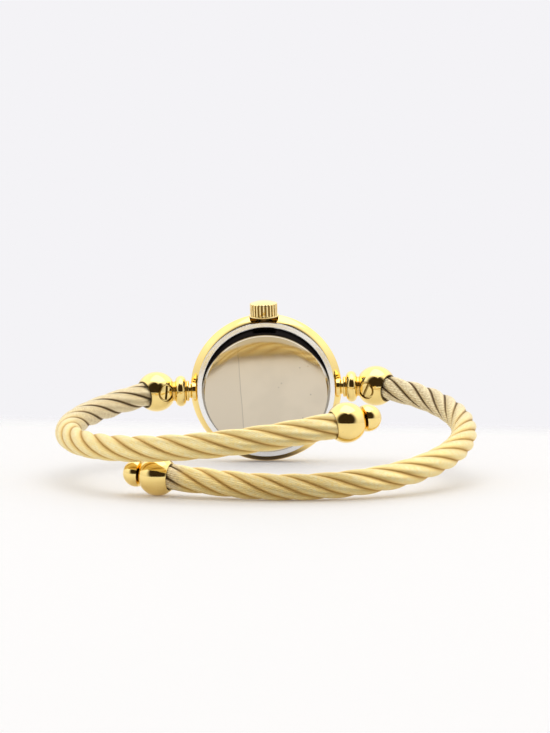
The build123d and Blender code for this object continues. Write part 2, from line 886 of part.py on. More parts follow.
# Screws of the movement, each under the piece that it holds
screw_seats = [(middle, bridge_front - bridge_thickness) for middle in bridge_post_places]
screw_seats += [(middle, clamp_back) for middle in clamp_places]
screw_seats += [(circuit_post_place, circuit_back)]
with BuildPart() as movement_screws:
    for middle, seat in screw_seats:
        disc(screw_head_radius, middle, seat - screw_head_height, screw_head_height)
        disc(screw_shank_radius, middle, seat, screw_shank_length)
        with BuildSketch(head_level(seat - screw_head_height)) as screw_slot_outline:
            with Locations(middle):
                Rectangle(3 * screw_head_radius, screw_slot_width)
        extrude(screw_slot_outline.sketch, amount=screw_head_height / 2, mode=Mode.SUBTRACT)
finish(movement_screws, "movement_screws")

# Winding stem with the groove that the pull plate grips, and the clutch on it
crown_back = crown_seat + crown_gap
crown_cavity_end = crown_back + crown_cavity_depth
stem_outer_end = crown_cavity_end + crown_stem_hole - stem_end_gap
groove_radius = stem_radius - stem_groove_depth
with BuildPart() as winding_stem:
    with BuildSketch(stem_line_section()):
        with BuildLine():
            Polyline(
                (stem_inner_end, 0),
                (stem_inner_end, stem_radius),
                (stem_groove_place - stem_groove_width / 2, stem_radius),
                (stem_groove_place - stem_groove_width / 2, groove_radius),
                (stem_groove_place + stem_groove_width / 2, groove_radius),
                (stem_groove_place + stem_groove_width / 2, stem_radius),
                (stem_outer_end, stem_radius),
                (stem_outer_end, 0),
                close=True,
            )
        make_face()
    revolve(axis=stem_line)
finish(winding_stem, "winding_stem")

with BuildPart() as clutch:
    with BuildSketch(stem_line_plane(clutch_place)):
        Circle(clutch_radius)
        Circle(stem_radius, mode=Mode.SUBTRACT)
    extrude(amount=clutch_length / 2, both=True)
    with BuildSketch(stem_line_plane(clutch_place - clutch_length / 2)):
        with PolarLocations(clutch_radius, clutch_teeth):
            Circle(clutch_tooth_depth)
    extrude(amount=clutch_length / 2, mode=Mode.SUBTRACT)
finish(clutch, "clutch")

pull_plate_bore = groove_radius + seat_fit
with BuildPart() as pull_plate:
    with BuildSketch(stem_line_plane(stem_groove_place)):
        with Locations((0, (pull_plate_head - pull_plate_tail) / 2)):
            Rectangle(pull_plate_width, pull_plate_head + pull_plate_tail)
        Circle(pull_plate_bore, mode=Mode.SUBTRACT)
        with Locations((0, -pull_plate_tail / 2)):
            Rectangle(2 * pull_plate_bore, pull_plate_tail, mode=Mode.SUBTRACT)
    extrude(amount=pull_plate_thickness / 2, both=True)
finish(pull_plate, "pull_plate")

# Crown tube, pressed into the case middle
with BuildPart() as crown_tube:
    with BuildSketch(stem_line_plane(tube_inner_end)):
        Circle(tube_radius)
        Circle(tube_radius - tube_wall, mode=Mode.SUBTRACT)
    extrude(amount=tube_outer_end - tube_inner_end)
finish(crown_tube, "crown_tube")

# Crown: a flange, a fluted band and a low dome, hollow over the tube
crown_band_start = crown_back + crown_flange_height
crown_band_end = crown_band_start + crown_height
dome_radius = (crown_radius**2 + crown_dome**2) / (2 * crown_dome)
flute_pitch = 2 * crown_radius * sin(radians(180 / crown_flutes))
with BuildPart() as crown:
    with BuildSketch(stem_line_section()):
        with BuildLine():
            Polyline(
                (crown_band_end + crown_dome, 0),
                (crown_back, 0),
                (crown_back, crown_flange_radius),
                (crown_band_start, crown_flange_radius),
                (crown_band_start, crown_radius),
                (crown_band_end, crown_radius),
            )
            RadiusArc(
                (crown_band_end, crown_radius), (crown_band_end + crown_dome, 0), dome_radius
            )
        make_face()
    revolve(axis=stem_line)
    with BuildSketch(stem_line_plane(crown_band_start)):
        with PolarLocations(crown_radius, crown_flutes):
            Rectangle(2 * crown_flute_depth, flute_pitch * crown_flute_share)
    extrude(amount=crown_height + crown_dome, mode=Mode.SUBTRACT)
    with BuildSketch(stem_line_plane(crown_back)):
        Circle(crown_cavity_radius)
    extrude(amount=crown_cavity_depth, mode=Mode.SUBTRACT)
    with BuildSketch(stem_line_plane(crown_cavity_end)):
        Circle(stem_radius)
    extrude(amount=crown_stem_hole, mode=Mode.SUBTRACT)
finish(crown, "crown")

with BuildPart() as crown_gasket:
    with BuildSketch(stem_line_plane(crown_back + crown_gasket_inset)):
        Circle(crown_cavity_radius)
        Circle(tube_radius + running_fit, mode=Mode.SUBTRACT)
    extrude(amount=crown_gasket_height)
finish(crown_gasket, "crown_gasket")

# Turned stems at 12 and 6 o'clock, shaped to the case that they stand on
socket_start = ball_place - ball_flat
bead_start = bead_place - bead_width / 2
collar_place = (neck_place + bead_start) / 2
collar_radius = collar_foot_radius + collar_place - neck_place
ridge_start = bead_place + bead_width / 2
ridge_width = (socket_start - ridge_start) / 2
ridge_radius = ridge_gap_radius + ridge_width / 2
bead_foot_radius = bead_radius - bead_width / 2


def lug_stem(side, name):
    """Build the turned stem between the case and the socket on one side."""
    origin = head.from_local_coords((0, 0, stem_height))
    section = Plane(origin=origin, x_dir=side * head.y_dir, z_dir=head.x_dir)
    with BuildPart() as stem:
        with BuildSketch(section):
            with BuildLine():
                Polyline(
                    (socket_start, 0),
                    (flare_start, 0),
                    (flare_start, flare_radius),
                    (flare_end, flare_radius),
                )
                RadiusArc(
                    (flare_end, flare_radius), (neck_place, neck_radius), neck_place - flare_end
                )
                Line((neck_place, neck_radius), (neck_place, collar_foot_radius))
                ThreePointArc(
                    (neck_place, collar_foot_radius),
                    (collar_place, collar_radius),
                    (bead_start, collar_foot_radius),
                )
                Line((bead_start, collar_foot_radius), (bead_start, bead_foot_radius))
                ThreePointArc(
                    (bead_start, bead_foot_radius),
                    (bead_place, bead_radius),
                    (ridge_start, bead_foot_radius),
                )
                Line((ridge_start, bead_foot_radius), (ridge_start, ridge_gap_radius))
                ThreePointArc(
                    (ridge_start, ridge_gap_radius),
                    (ridge_start + ridge_width / 2, ridge_radius),
                    (ridge_start + ridge_width, ridge_gap_radius),
                )
                ThreePointArc(
                    (ridge_start + ridge_width, ridge_gap_radius),
                    (ridge_start + ridge_width * 3 / 2, ridge_radius),
                    (socket_start, ridge_gap_radius),
                )
                Line((socket_start, ridge_gap_radius), (socket_start, 0))
            make_face()
        revolve(axis=Axis(origin, side * head.y_dir))
        add(case_middle.part, mode=Mode.SUBTRACT)
        with BuildSketch(Plane(origin=stem_point(side, flare_start), z_dir=side * head.y_dir)):
            Circle(stem_spigot_radius)
        extrude(amount=-stem_spigot_length)
        with BuildSketch(Plane(origin=stem_point(side, socket_start), z_dir=side * head.y_dir)):
            Circle(stem_spigot_radius)
        extrude(amount=ball_spigot_length)
    finish(stem, name)


def stem_point(side, distance):
    """Point on the line through both stems, at a distance from the middle of the watch."""
    return head.from_local_coords((0, side * distance, stem_height))


lug_stem(-1, "lug_stem_left")
lug_stem(1, "lug_stem_right")


def arm_plane(side, outward_fall, forward_fall):
    """Plane of an arm: x outwards from the ball, y forwards under the wrist."""
    outward = Vector(side * cos(radians(outward_fall)), 0, -sin(radians(outward_fall)))
    forward = Vector(0, -cos(radians(forward_fall)), -sin(radians(forward_fall)))
    return Plane(
        origin=stem_point(side, ball_place), x_dir=outward, z_dir=outward.cross(forward)
    )


heading = (cos(radians(cable_heading)), sin(radians(cable_heading)))
half_strand = full_turn / strand_count / 2
strand_ring = cable_radius - strand_radius
strand_meeting = strand_ring * sin(radians(half_strand))
cable_groove_radius = strand_ring * cos(radians(half_strand))
cable_groove_radius += sqrt(strand_radius**2 - strand_meeting**2)


def along_heading(plane, distance):
    """Plane square to the socket's bore, at a distance from the middle of the ball."""
    origin = plane.from_local_coords((heading[0] * distance, heading[1] * distance, 0))
    way = plane.from_local_coords((*heading, 0)) - plane.origin
    return Plane(origin=origin, x_dir=plane.z_dir, z_dir=way)


def screw_plane(plane, distance, turn=0):
    """Plane square to the socket's screw, at a distance from the middle of the ball."""
    inward = (-heading[1], heading[0])
    origin = plane.from_local_coords((inward[0] * distance, inward[1] * distance, 0))
    way = plane.from_local_coords((*inward, 0)) - plane.origin
    return Plane(origin=origin, x_dir=plane.z_dir, z_dir=way).rotated((0, 0, turn))


def ball_about(middle, axis_way, side_way, radius):
    """Add a ball, turned about an axis through its middle."""
    with BuildSketch(Plane(origin=middle, x_dir=axis_way, z_dir=side_way)) as half:
        with BuildLine():
            rim = CenterArc((0, 0), radius, 0, 180)
            Line(rim @ 1, rim @ 0)
        make_face()
    revolve(half.sketch, axis=Axis(middle, axis_way))


def socket(side, name, plane, slot_turn):
    """Build the ball socket of one side, its screw and the cable's plug in its bore."""
    bore_radius = cable_radius + bore_fit
    with BuildPart() as ball:
        ball_about(plane.origin, along_heading(plane, 0).z_dir, plane.z_dir, ball_radius)
        with BuildSketch(Plane(origin=stem_point(side, socket_start), z_dir=-side * head.y_dir)):
            Circle(ball_radius)
        extrude(amount=ball_radius, mode=Mode.SUBTRACT)
        with BuildSketch(Plane(origin=stem_point(side, socket_start), z_dir=side * head.y_dir)):
            Circle(stem_spigot_radius + seat_fit)
        extrude(amount=ball_spigot_length + seat_fit, mode=Mode.SUBTRACT)
        with BuildSketch(along_heading(plane, mouth_offset)):
            Circle(ball_radius)
        extrude(amount=ball_radius, mode=Mode.SUBTRACT)
        with BuildSketch(along_heading(plane, bore_bottom)):
            Circle(bore_radius)
        extrude(amount=ball_radius - bore_bottom, mode=Mode.SUBTRACT)
        with BuildSketch(screw_plane(plane, recess_floor)):
            Circle(recess_radius)
        extrude(amount=ball_radius, mode=Mode.SUBTRACT)
        with BuildSketch(screw_plane(plane, 0)):
            Circle(screw_shank + seat_fit)
        extrude(amount=ball_radius, mode=Mode.SUBTRACT)
    finish(ball, f"ball_socket_{name}")

    with BuildPart() as screw:
        with BuildSketch(screw_plane(plane, recess_floor)):
            Circle(screw_radius)
        extrude(amount=screw_height)
        with BuildSketch(screw_plane(plane, plug_radius + seat_fit)):
            Circle(screw_shank)
        extrude(amount=recess_floor - plug_radius - seat_fit)
        slot_plane = screw_plane(plane, recess_floor + screw_height, slot_turn)
        with BuildSketch(slot_plane):
            Rectangle(2 * recess_radius, screw_slot)
        extrude(amount=-screw_slot_depth, mode=Mode.SUBTRACT)
    finish(screw, f"socket_screw_{name}")

    with BuildPart() as plug:
        with BuildSketch(along_heading(plane, bore_bottom + cable_gap)):
            Circle(plug_radius)
        extrude(amount=mouth_offset - bore_bottom - cable_gap)
    finish(plug, f"cable_plug_{name}")


def arm(name, plane, bend_radius, past_front, straight):
    """Build one twisted cable arm from its socket's mouth to its free end, with core and finial."""
    start_distance = mouth_offset + cable_gap
    start = (heading[0] * start_distance, heading[1] * start_distance)
    with BuildLine(plane) as route:
        first = JernArc(start, heading, first_bend_radius, quarter_turn - cable_heading)
        second = JernArc(first @ 1, first % 1, bend_radius, quarter_turn + past_front)
        Line(second @ 1, second @ 1 + (straight + finial_bore_depth) * (second % 1))
    line = route.wire()
    section_count = ceil(sections_per_lay * line.length / strand_lay)
    with BuildPart() as cable:
        for number in range(section_count + 1):
            share = number / section_count
            twist = full_turn * share * line.length / strand_lay
            with BuildSketch(Plane(origin=line @ share, x_dir=plane.z_dir, z_dir=line % share)):
                with BuildLine():
                    for strand in range(strand_count):
                        crest = twist + 2 * half_strand * strand
                        ThreePointArc(
                            Vector(cable_groove_radius, 0).rotate(Axis.Z, crest - half_strand),
                            Vector(cable_radius, 0).rotate(Axis.Z, crest),
                            Vector(cable_groove_radius, 0).rotate(Axis.Z, crest + half_strand),
                        )
                make_face()
        loft()
        with BuildSketch(Plane(origin=line @ 0, z_dir=line % 0)):
            Circle(core_radius + seat_fit)
        sweep(path=line, mode=Mode.SUBTRACT)
    finish(cable, f"cable_{name}")

    with BuildPart() as core:
        with BuildSketch(Plane(origin=line @ 0, z_dir=line % 0)):
            Circle(core_radius)
        sweep(path=line)
    finish(core, f"core_wire_{name}")

    way = line % 1
    mouth = line @ 1 - way * finial_bore_depth
    middle = mouth + way * finial_mouth_offset
    with BuildPart() as finial:
        ball_about(middle, way, plane.z_dir, finial_radius)
        with BuildSketch(Plane(origin=mouth, z_dir=-way)):
            Circle(finial_radius)
        extrude(amount=finial_radius, mode=Mode.SUBTRACT)
        with BuildSketch(Plane(origin=mouth, z_dir=way)):
            Circle(cable_radius + bore_fit)
        extrude(amount=finial_bore_depth + seat_fit, mode=Mode.SUBTRACT)
        with BuildSketch(Plane(origin=middle + way * finial_flat, z_dir=way)):
            Circle(finial_radius)
        extrude(amount=finial_radius, mode=Mode.SUBTRACT)
        with BuildSketch(Plane(origin=middle + way * finial_flat, z_dir=way)):
            Circle(tip_pin_radius + seat_fit)
        extrude(amount=-tip_pin_length - seat_fit, mode=Mode.SUBTRACT)
    finish(finial, f"finial_ball_{name}")

    with BuildPart() as tip:
        ball_about(middle + way * tip_place, way, plane.z_dir, tip_radius)
        with BuildSketch(Plane(origin=middle + way * finial_flat, z_dir=-way)):
            Circle(finial_radius)
        extrude(amount=finial_radius, mode=Mode.SUBTRACT)
        with BuildSketch(Plane(origin=middle + way * finial_flat, z_dir=-way)):
            Circle(tip_pin_radius)
        extrude(amount=tip_pin_length)
    finish(tip, f"finial_tip_{name}")


# The arm on the right is the lower one in front, the arm on the left the upper one
upper_plane = arm_plane(-1, upper_arm_fall, upper_arm_drop)
lower_plane = arm_plane(1, lower_arm_fall, lower_arm_drop)
socket(-1, "left", upper_plane, slot_turn_left)
socket(1, "right", lower_plane, slot_turn_right)
arm("left", upper_plane, upper_bend_radius, upper_bend_past_front, upper_straight)
arm("right", lower_plane, lower_bend_radius, lower_bend_past_front, lower_straight)
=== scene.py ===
import json
import logging
import math
from collections.abc import Sequence
from dataclasses import dataclass
from enum import Enum

import bpy
import numpy as np
from mathutils import Matrix, Vector

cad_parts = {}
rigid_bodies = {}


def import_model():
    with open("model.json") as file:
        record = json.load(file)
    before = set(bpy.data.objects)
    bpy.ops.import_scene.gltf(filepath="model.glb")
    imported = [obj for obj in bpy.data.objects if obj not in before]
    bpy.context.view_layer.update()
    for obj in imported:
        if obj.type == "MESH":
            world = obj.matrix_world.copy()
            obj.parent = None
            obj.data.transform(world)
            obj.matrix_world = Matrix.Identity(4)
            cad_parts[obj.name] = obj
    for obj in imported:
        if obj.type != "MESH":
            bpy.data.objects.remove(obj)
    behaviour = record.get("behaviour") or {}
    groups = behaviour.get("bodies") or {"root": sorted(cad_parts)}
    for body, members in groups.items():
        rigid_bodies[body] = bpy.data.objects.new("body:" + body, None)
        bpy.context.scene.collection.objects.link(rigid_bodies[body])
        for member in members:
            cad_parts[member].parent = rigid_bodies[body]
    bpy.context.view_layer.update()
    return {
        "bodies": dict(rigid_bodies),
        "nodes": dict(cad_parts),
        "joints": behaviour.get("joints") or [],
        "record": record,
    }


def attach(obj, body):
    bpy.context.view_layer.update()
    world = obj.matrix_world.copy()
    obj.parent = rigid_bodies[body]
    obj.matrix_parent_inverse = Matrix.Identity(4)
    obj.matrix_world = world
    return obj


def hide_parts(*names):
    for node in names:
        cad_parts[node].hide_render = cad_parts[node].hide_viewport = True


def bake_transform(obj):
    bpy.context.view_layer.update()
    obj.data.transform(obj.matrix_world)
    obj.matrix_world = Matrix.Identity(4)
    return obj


# Looks of a bangle watch on two twisted cable arms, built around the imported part. Lengths in
# the classes are millimetres and angles are degrees where nothing else is said. A piece is put
# in its place, in metres, when it is finished.
MM = 0.001
WELD = 1e-4
# The most of an outline's side that one rounded corner takes.
SIDE_SHARE = 0.48
# Angle in degrees from which an edge of a turned piece stays sharp.
SHARP = 32.0
# The cable's radius, how far from the middle of its socket it starts, and the way it leaves
# there, in degrees from outwards to forwards.
CABLE_RADIUS = 2.02
CABLE_START = 2.47
HEADING = 35.0
FULL_TURN = 2 * math.pi

Point = tuple[float, float]
Colour = tuple[float, float, float]
Stretch = tuple[float, float, float]
Socket = bpy.types.NodeSocket
log = logging.getLogger("bangle watch")


class Slot(Enum):
    """Material slots of the record, listed beside the pieces' finishes."""

    GOLD = "gold_polished"
    CABLE = "gold_cable"
    STEEL = "steel_polished"
    PLAIN_STEEL = "steel_plain"
    CRYSTAL = "crystal"
    DIAL = "dial_paint"
    PLATE_BRASS = "movement_brass"
    WHEEL_BRASS = "wheel_brass"
    PLASTIC = "plastic"
    RUBBER = "rubber"
    COPPER = "copper"
    BATTERY = "battery_steel"
    CIRCUIT = "circuit"
    MOULDING = "black_plastic"
    MAGNET = "magnet"


class Side(Enum):
    """The two ends of the head: the left one carries the upper arm."""

    LEFT = "left"
    RIGHT = "right"

    @property
    def sign(self) -> int:
        """Sign of the side along the head's twelve-o'clock way."""
        return -1 if self is Side.LEFT else 1


# Shader values and nodes


class Value:
    """A number socket of a node tree, with its arithmetic written as operators."""

    def __init__(self, tree: "Nodes", socket: Socket) -> None:
        """Wrap a socket.

        Args:
            tree: The node tree that the socket is in.
            socket: The output socket that gives the number.
        """
        self.tree = tree
        self.socket = socket

    def _with(self, operation: str, *others: "Value | float") -> "Value":
        """This value put through a maths node with others."""
        return self.tree.maths(operation, self, *others)

    def __add__(self, other: "Value | float") -> "Value":
        """Sum."""
        return self._with("ADD", other)

    __radd__ = __add__

    def __sub__(self, other: "Value | float") -> "Value":
        """Difference."""
        return self._with("SUBTRACT", other)

    def __rsub__(self, other: "Value | float") -> "Value":
        """Difference with this value taken away."""
        return self.tree.maths("SUBTRACT", other, self)

    def __mul__(self, other: "Value | float") -> "Value":
        """Product."""
        return self._with("MULTIPLY", other)

    __rmul__ = __mul__

    def __truediv__(self, other: "Value | float") -> "Value":
        """Quotient."""
        return self._with("DIVIDE", other)

    def __pow__(self, other: "Value | float") -> "Value":
        """Power."""
        return self._with("POWER", other)

    def __abs__(self) -> "Value":
        """Size without sign."""
        return self._with("ABSOLUTE")

    def sine(self) -> "Value":
        """Sine of this value in radians."""
        return self._with("SINE")

    def larger(self, other: "Value | float") -> "Value":
        """The larger of two values."""
        return self._with("MAXIMUM", other)

    def smaller(self, other: "Value | float") -> "Value":
        """The smaller of two values."""
        return self._with("MINIMUM", other)

    def diagonal(self, other: "Value") -> "Value":
        """Length over two sides at right angles."""
        return (self * self + other * other) ** 0.5

    def between(self, low: float, high: float) -> "Value":
        """Soft step from 0 at low to 1 at high.

        Args:
            low: Value at which the step starts.
            high: Value at which it ends; below low the step runs downwards.

        Returns:
            The step, from 0 to 1.
        """
        if low > high:
            return 1 - self.between(high, low)
        node = self.tree.node(
            "ShaderNodeMapRange",
            {"interpolation_type": "SMOOTHSTEP"},
            {"Value": self, "From Min": low, "From Max": high},
        )
        return Value(self.tree, node.outputs["Result"])


class Nodes:
    """The node tree of one material or of the world."""

    # A Mix node has sockets for each kind of data, and these are the ones for colours.
    SHARE, FIRST, SECOND, MIXED = 0, 6, 7, 2

    def __init__(self, tree: bpy.types.NodeTree) -> None:
        """Empty the tree.

        Args:
            tree: Node tree to fill.
        """
        self.tree = tree
        tree.nodes.clear()

    def maths(self, operation: str, *terms: "Value | float") -> Value:
        """Add a maths node.

        Args:
            operation: The node's operation.
            terms: Its values or links, in order.

        Returns:
            The result.
        """
        node = self.node("ShaderNodeMath", {"operation": operation}, dict(enumerate(terms)))
        return Value(self, node.outputs[0])

    def node(
        self, kind: str, settings: dict | None = None, inputs: dict | None = None
    ) -> bpy.types.Node:
        """Add any node.

        Args:
            kind: The node's type.
            settings: Settings by name, which are set first.
            inputs: Values or links by socket name or number.

        Returns:
            The new node.
        """
        node = self.tree.nodes.new(kind)
        for name, setting in (settings or {}).items():
            setattr(node, name, setting)
        for name, given in (inputs or {}).items():
            socket = node.inputs[name]
            if isinstance(given, Value):
                self.tree.links.new(given.socket, socket)
            elif isinstance(given, Socket):
                self.tree.links.new(given, socket)
            else:
                socket.default_value = given
        return node

    def mix(
        self, share: "Value | float", first: "Colour | Socket", second: "Colour | Socket"
    ) -> Socket:
        """Mix two colours.

        Args:
            share: Share of the second colour.
            first: The first colour.
            second: The second colour.

        Returns:
            The mixed colour.
        """
        first, second = ((*c, 1.0) if isinstance(c, tuple) else c for c in (first, second))
        inputs = {self.SHARE: share, self.FIRST: first, self.SECOND: second}
        return self.node("ShaderNodeMix", {"data_type": "RGBA"}, inputs).outputs[self.MIXED]

    def split(self, vector: Socket) -> tuple[Value, Value, Value]:
        """The three numbers of a vector."""
        node = self.node("ShaderNodeSeparateXYZ", None, {0: vector})
        return tuple(Value(self, output) for output in node.outputs)

    def vector(self, x: "Value | float", y: "Value | float", z: "Value | float") -> Socket:
        """A vector of three numbers."""
        return self.node("ShaderNodeCombineXYZ", None, {0: x, 1: y, 2: z}).outputs[0]

    def noise(
        self, where: Socket, per_mm: float, detail: float = 2.0, rough: float = 0.5
    ) -> Value:
        """Smooth noise from 0 to 1.

        Args:
            where: Coordinates in millimetres.
            per_mm: How many lumps lie along a millimetre.
            detail: Octaves of finer noise.
            rough: Strength of the finer noise.

        Returns:
            The noise, around 0.5.
        """
        node = self.node(
            "ShaderNodeTexNoise",
            None,
            {"Vector": where, "Scale": per_mm, "Detail": detail, "Roughness": rough},
        )
        return Value(self, node.outputs["Fac"])

    def cells(self, where: Socket, per_mm: float) -> Value:
        """Scattered cells: the distance to the nearest middle of one."""
        node = self.node("ShaderNodeTexVoronoi", None, {"Vector": where, "Scale": per_mm})
        return Value(self, node.outputs["Distance"])

    def bump(self, height: Value, distance: float) -> Socket:
        """Normal of a relief.

        Args:
            height: Height of the relief, from 0 to 1.
            distance: Height in millimetres that 1 stands for.

        Returns:
            The bent normal.
        """
        node = self.node("ShaderNodeBump", None, {"Height": height, "Distance": distance * MM})
        return node.outputs["Normal"]

    def along(self, way: Socket, other: Sequence[float]) -> Value:
        """How far a vector runs along a fixed one.

        Args:
            way: The vector.
            other: The fixed one, of length 1.

        Returns:
            The distance.
        """
        inputs = {0: way, 1: tuple(other)}
        node = self.node("ShaderNodeVectorMath", {"operation": "DOT_PRODUCT"}, inputs)
        return Value(self, node.outputs["Value"])

    def stretched(self, where: Socket, factors: Stretch) -> Socket:
        """Coordinates multiplied by a factor along each way."""
        node = self.node("ShaderNodeVectorMath", {"operation": "MULTIPLY"}, {0: where, 1: factors})
        return node.outputs[0]


@dataclass(frozen=True)
class Place:
    """A right-handed frame in the row frame: an origin in metres and two of its ways."""

    origin: Vector
    x_way: Vector
    z_way: Vector

    @property
    def y_way(self) -> Vector:
        """Way of the second axis."""
        return self.z_way.cross(self.x_way)

    @property
    def turn(self) -> Matrix:
        """Rotation from this frame to the row frame."""
        return Matrix((self.x_way, self.y_way, self.z_way)).transposed()

    @property
    def matrix(self) -> Matrix:
        """Transform from millimetres in this frame to metres in the row frame."""
        return Matrix.Translation(self.origin) @ self.turn.to_4x4() @ Matrix.Scale(MM, 4)

    def point(self, x: float, y: float, z: float) -> Vector:
        """A point of this frame, in metres in the row frame."""
        return self.matrix @ Vector((x, y, z))

    def way(self, x: float, y: float, z: float) -> Vector:
        """A way of this frame in the row frame."""
        return (self.turn @ Vector((x, y, z))).normalized()

    def toward(self, x: float, y: float, z: float, way: Vector, side: Vector) -> "Place":
        """A frame at a point of this one, its third axis along a way and its first by a side."""
        side = (side - way * side.dot(way)).normalized()
        return Place(self.point(x, y, z), side, way.normalized())


ROW = Place(Vector((0, 0, 0)), Vector((1, 0, 0)), Vector((0, 0, 1)))


def heading_ways(heading: float) -> tuple[Vector, Vector]:
    """The way at a heading in degrees in a flat frame, and the way to its left."""
    turn = math.radians(heading)
    return Vector((math.cos(turn), math.sin(turn), 0)), Vector((-math.sin(turn), math.cos(turn), 0))


@dataclass(frozen=True)
class Finish:
    """A finish: its name, base colour and the patterns that give it life."""

    name: str
    colour: Colour
    metallic: float = 1.0
    roughness: float = 0.3

    def material(self, place: Place = ROW) -> bpy.types.Material:
        """Make the material.

        Args:
            place: Frame whose millimetres the patterns are measured in.

        Returns:
            The finished material.
        """
        material = bpy.data.materials.new(self.name)
        material.use_nodes = True
        nodes = Nodes(material.node_tree)
        where = nodes.node("ShaderNodeTexCoord").outputs["Object"]
        mapping = nodes.node(
            "ShaderNodeMapping",
            {"vector_type": "TEXTURE"},
            {
                "Vector": where,
                "Location": place.origin,
                "Rotation": place.turn.to_euler(),
                "Scale": (MM, MM, MM),
            },
        )
        surface = {
            "Base Color": (*self.colour, 1.0),
            "Metallic": self.metallic,
            "Roughness": self.roughness,
        }
        surface.update(self.surface(nodes, mapping.outputs[0]))
        shader = nodes.node("ShaderNodeBsdfPrincipled", None, surface)
        nodes.node("ShaderNodeOutputMaterial", None, {"Surface": shader.outputs[0]})
        return material

    def surface(self, nodes: Nodes, where: Socket) -> dict:
        """Sockets of the shader that this finish sets.

        Args:
            nodes: Node tree to build in.
            where: Coordinates in millimetres.

        Returns:
            Values or links by socket name.
        """
        return {}

    def shaded(self, share: float) -> Colour:
        """The finish's colour times a share, no channel past 1."""
        return tuple(min(1.0, channel * share) for channel in self.colour)


@dataclass(frozen=True)
class PolishedGold(Finish):
    """Polished gold plate with soft waves from buffing, hairlines and a little haze."""

    haze: float = 0.05
    haze_per_mm: float = 6.0
    haze_relief: float = 0.06
    wave: float = 0.010
    waves_per_mm: float = 0.35
    wave_share: float = 0.95
    hair_stretch: Stretch = (0.5, 9.0, 0.6)
    hairs_per_mm: float = 2.2
    hair_edge: float = 0.64
    cross_stretch: Stretch = (7.0, 0.5, 0.8)
    crosses_per_mm: float = 2.0
    cross_edge: float = 0.66
    edge_width: float = 0.08
    scratch_colour: Colour = (1.0, 0.93, 0.70)
    scratch_share: float = 0.15
    scratch_rough: float = 0.05
    scratch_relief: float = 0.02
    # Colour of the scattered dirt, and of the painted shade in the kinds of gold below.
    dirt_and_shade_colour: Colour = (0.085, 0.045, 0.016)
    dirt_and_shade_rough: float = 0.15

    def surface(self, nodes: Nodes, where: Socket) -> dict:
        """Gold with its waves, hairlines and dirt, where the kinds of gold below paint shade instead.

        Args:
            nodes: Node tree to build in.
            where: Coordinates in millimetres.

        Returns:
            Values or links by socket name.
        """
        broad = nodes.noise(where, self.waves_per_mm)
        fine = nodes.noise(where, self.haze_per_mm, 3.0, 0.6)
        hair = nodes.noise(nodes.stretched(where, self.hair_stretch), self.hairs_per_mm, 2.0, 0.6)
        cross = nodes.noise(nodes.stretched(where, self.cross_stretch), self.crosses_per_mm, 2.0, 0.6)
        lines = hair.between(self.hair_edge, self.hair_edge + self.edge_width)
        lines = lines + cross.between(self.cross_edge, self.cross_edge + self.edge_width)
        tone = nodes.mix(broad.between(0.3, 0.7), self.colour, self.shaded(self.wave_share))
        tone = nodes.mix(lines * self.scratch_share, tone, self.scratch_colour)
        dirt_and_shade = self.dirt_and_shade(nodes, where)
        worn = self.haze * fine + lines * self.scratch_rough + dirt_and_shade * self.dirt_and_shade_rough
        relief = broad + fine * self.haze_relief - lines * self.scratch_relief
        return {
            "Base Color": nodes.mix(dirt_and_shade, tone, self.dirt_and_shade_colour),
            "Roughness": self.roughness + worn,
            "Normal": nodes.bump(relief, self.wave),
        }

    def dirt_and_shade(self, nodes: Nodes, where: Socket) -> Value:
        """Share of the surface that is dark: scattered dirt here, and painted shade in the kinds of gold
        below.

        Args:
            nodes: Node tree to build in.
            where: Coordinates in millimetres.

        Returns:
            The share, from 0 to 1.
        """
        return nodes.noise(where, 1.1, 3.0, 0.6).between(0.74, 0.80) * 0.5


@dataclass(frozen=True)
class CaseGold(PolishedGold):
    """Gold of the case ring, with painted shade under its lower edge where it stands on the table."""

    low: float = -11.6
    high: float = -9.6
    front: float = 0.35
    back: float = -0.15
    low_share: float = 0.9

    def dirt_and_shade(self, nodes: Nodes, where: Socket) -> Value:
        """Painted shade towards the lowest part of the ring's back half."""
        up, _, forward = nodes.split(where)
        return up.between(self.high, self.low) * forward.between(self.front, self.back) * self.low_share


@dataclass(frozen=True, kw_only=True)
class FlutedGold(PolishedGold):
    """Gold of the crown, with painted shade in its flutes and under its flange."""

    radius: float
    back: float
    band_start: float
    band_end: float
    # Colour of the painted shade in the flutes and under the flange.
    dirt_and_shade_colour: Colour = (0.22, 0.12, 0.020)
    rib_edge: float = 0.02
    flute_depth: float = 0.13
    fade: float = 0.05
    flute_share: float = 0.95

    def dirt_and_shade(self, nodes: Nodes, where: Socket) -> Value:
        """Painted shade between the ribs and at the back of the flange.

        Args:
            nodes: Node tree to build in.
            where: Coordinates in millimetres.

        Returns:
            The share, from 0 to 1.
        """
        x, y, out = nodes.split(where)
        flutes = x.diagonal(y).between(self.radius - self.rib_edge, self.radius - self.flute_depth)
        flutes = flutes * out.between(self.band_start, self.band_start + self.fade)
        flutes = flutes * out.between(self.band_end, self.band_end - 3 * self.fade)
        under = out.between(self.back + 3 * self.fade, self.back + self.fade)
        return (flutes * self.flute_share).larger(under)


